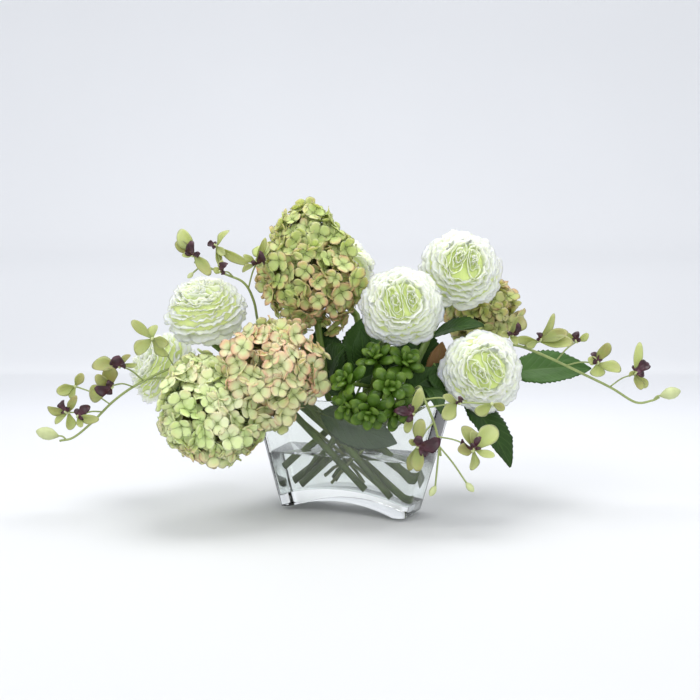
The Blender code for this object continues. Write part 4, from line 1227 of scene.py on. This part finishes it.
def inside_leaf(piece, rng, path):
    base = in_vase(INSIDE_LEAF_BASE[0], INSIDE_LEAF_ACROSS, INSIDE_LEAF_BASE[1])
    tip = in_vase(INSIDE_LEAF_TIP[0], INSIDE_LEAF_ACROSS, INSIDE_LEAF_TIP[1])
    root = cad_share("front", INSIDE_LEAF_ROOT)
    piece.tube([root, base, base + (tip - base) * 0.1], [1.2, 1.1, 0.8], 8, 0.5, 0)
    serrated_leaf(piece, rng, base, tip, in_vase(0, -1, 0), INSIDE_LEAF_WIDTH, 0.0, 4,
                  fold=0.0, flat=True)


def build_sprays(paths, materials):
    for number, name in enumerate(ORCHIDS):
        rng = random.Random(70 + number)
        path = paths[f"orchid_{name}"]
        piece = Piece(f"orchid_{name}_fine")
        piece.tube(path, np.linspace(SPRAY_RADIUS, SPRAY_RADIUS * 0.7, len(path)), 10, 0.4, 2)
        for hub, petals, lips in ORCHIDS[name]:
            node = node_near(path, place(*hub), 12)
            orchid_flower(piece, rng, node, place(*hub), petals, lips)
        for root, pointing, size in BUDS[name]:
            node = node_near(path, place(*root), 6.4)
            orchid_bud(piece, node, place(*root), pointing, size)
        for share, base, tip, face, width, arch in LEAVES.get(f"orchid_{name}", []):
            root = cad_share(f"orchid_{name}", share)
            base, tip = place(*base), place(*tip)
            piece.tube([root, base, base + (tip - base) * 0.12], [1.2, 1.0, 0.8], 8, 0.5, 2)
            serrated_leaf(piece, rng, base, tip, face, width, arch, slot=4, teeth=9)
        piece.build(materials, "orchid", f"orchid_spray_{name}")


def build_succulent(path, materials):
    rng = random.Random(5)
    piece = Piece("succulent_fine")
    piece.tube(path, STEM_RADIUS, 12, 0.5, 1)
    for centre, facing in ROSETTES:
        middle = place(*centre)
        way = unit(facing)
        piece.tube([path[-1], middle - way * 4, middle + way * 2], [2.0, 2.6, 2.2], 8, 0.5, 1)
        rosette(piece, middle, facing, rng)
    piece.build(materials, "succulent", "succulent_cutting")


def build_heads(materials):
    rivals = {"front": HEADS["left"][0], "left": HEADS["front"][0]}
    for number, (name, (lobes, _, _)) in enumerate(HEADS.items()):
        neck, _ = head_neck(name)
        hydrangea_head(f"hydrangea_{name}_florets", lobes, neck, materials[name], 30 + number,
                       rivals.get(name, ()), f"hydrangea_{name}_head", PINKNESS[name])


# How pink the florets are over each head, from 0 to 1.
PINKNESS = {
    "upper": lambda spot: 0.30 + 0.55 * (spot[2] < 285) + 0.1 * (spot[0] < -60),
    "front": lambda spot: 0.75 - 0.35 * (spot[2] < 150) + 0.2 * (spot[0] > -60),
    "left": lambda spot: 0.25 + 0.35 * (spot[2] < 95),
    "right": lambda spot: 0.6,
}


# Stage

def build_stage():
    profile = [(-3.0, 0.0), (1.2, 0.0), (1.9, 0.06), (2.4, 0.35), (2.7, 0.9), (2.8, 3.4)]
    path = smooth_path([(0.0, y, z) for y, z in profile], 8)
    points = [(side * 4.0, y, z) for _, y, z in path for side in (-1, 1)]
    faces = [(2 * i, 2 * i + 1, 2 * i + 3, 2 * i + 2) for i in range(len(path) - 1)]
    mesh = bpy.data.meshes.new("floor")
    mesh.from_pydata(points, [], faces)
    mesh.shade_smooth()
    shader = Shader("pale_floor", 0.7)
    separate = shader.node("ShaderNodeSeparateXYZ")
    shader.join(shader.node("ShaderNodeTexCoord").outputs["Object"], separate.inputs[0])
    # Painted shade and light: the floor is a darker, warmer grey near the camera and a paler, bluer
    # white towards the back and up the backdrop.
    depth = shader.math("MULTIPLY_ADD", separate.outputs["Y"], 0.3)
    grain = shader.mix(shader.noise(2.0), (0.97, 0.97, 0.97), (1.0, 1.0, 1.0))
    painted_light_falloff = shader.ramp(depth, (0.0, (0.60, 0.59, 0.57)), (0.35, (0.66, 0.665, 0.665)),
                       (0.75, (0.88, 0.89, 0.92)), (1.0, (0.92, 0.93, 0.95)))
    shader.colour(shader.mix(1.0, painted_light_falloff, grain, "MULTIPLY"))
    mesh.materials.append(shader.material)
    floor = bpy.data.objects.new("floor", mesh)
    bpy.context.scene.collection.objects.link(floor)


def add_light(name, location, target, size, power, colour=(1, 1, 1)):
    light = bpy.data.lights.new(name, "AREA")
    light.shape = "DISK"
    light.size = size
    light.energy = power
    light.color = colour
    item = bpy.data.objects.new(name, light)
    item.location = location
    item.rotation_euler = (Vector(target) - Vector(location)).to_track_quat("-Z", "Y").to_euler()
    bpy.context.scene.collection.objects.link(item)


def build_lights():
    world = bpy.data.worlds.new("studio")
    world.use_nodes = True
    background = world.node_tree.nodes["Background"]
    background.inputs["Color"].default_value = (0.94, 0.96, 1.0, 1.0)
    background.inputs["Strength"].default_value = 0.8
    bpy.context.scene.world = world
    add_light("key", (-0.9, -1.3, 1.5), (0, 0, 0.15), 1.1, 12)
    add_light("front", (0.5, -1.9, 0.75), (0, 0, 0.15), 1.4, 11)
    add_light("top", (0.1, 0.1, 1.6), (0, 0, 0.15), 1.0, 13)


def build_camera():
    data = bpy.data.cameras.new("camera")
    data.lens = 45
    data.sensor_width = 36
    camera = bpy.data.objects.new("camera", data)
    camera.location = (-0.015, -1.030, 0.240)
    camera.rotation_euler = (math.radians(87.0), 0, 0)
    bpy.context.scene.collection.objects.link(camera)
    bpy.context.scene.camera = camera


def main():
    build_camera()
    build_lights()
    build_stage()
    bpy.context.scene.view_settings.view_transform = "Standard"
    glass = glass_material()
    build_vase(glass)
    build_water(water_material())
    green_stem = stem_material("green_stem", (0.115, 0.18, 0.030))
    pale_stem = stem_material("pale_stem", (0.28, 0.34, 0.12))
    dark_leaf = leaf_material("dark_leaf", (0.018, 0.048, 0.007), (0.07, 0.14, 0.03))
    petal = ranunculus_material()
    for number, (name, (centre, facing, size)) in enumerate(BLOOMS.items()):
        ranunculus_bloom(f"ranunculus_{name}_petals", centre, facing, size, BLOOM_KINDS[name],
                         petal, 10 + number, f"ranunculus_{name}_bloom")
    # Dark brown-olive for the heads' cores: painted shade inside the heads.
    core = stem_material("head_core_painted_shade", (0.13, 0.12, 0.035), 0.9)
    head_tints = {
        "upper": ("hydrangea_upper", (0.42, 0.55, 0.15), (0.60, 0.68, 0.29),
                  (0.70, 0.36, 0.21), 1.25),
        "front": ("hydrangea_front", (0.58, 0.70, 0.27), (0.76, 0.78, 0.42),
                  (0.80, 0.42, 0.27), 1.45),
        "left": ("hydrangea_left", (0.62, 0.78, 0.30), (0.78, 0.84, 0.46),
                 (0.80, 0.46, 0.30), 1.2),
        # The right head, set at the back, has the front head's tints darkened by about a third:
        # painted shade.
        "right": ("hydrangea_right_shaded", (0.40, 0.48, 0.14), (0.56, 0.56, 0.26),
                  (0.55, 0.30, 0.16), 1.4),
    }
    materials = {name: [hydrangea_material(*tint), pale_stem, core]
                 for name, tint in head_tints.items()}
    build_heads(materials)
    paths = {name: stem_of(name) for name in STEMS}
    leaves = [dark_leaf, leaf_material("brown_leaf", (0.16, 0.085, 0.035), (0.22, 0.17, 0.06)),
              leaf_material("green_leaf", (0.045, 0.105, 0.022), (0.09, 0.17, 0.05)),
              leaf_material("pressed_leaf", (0.075, 0.125, 0.055), (0.12, 0.19, 0.10))]
    build_stems(paths, [green_stem] + leaves)
    bud = stem_material("orchid_bud", (0.48, 0.53, 0.26))
    build_sprays(paths, [orchid_material(), lip_material(), pale_stem, bud, dark_leaf])
    build_succulent(paths["succulent"], [succulent_material(), green_stem])


main()
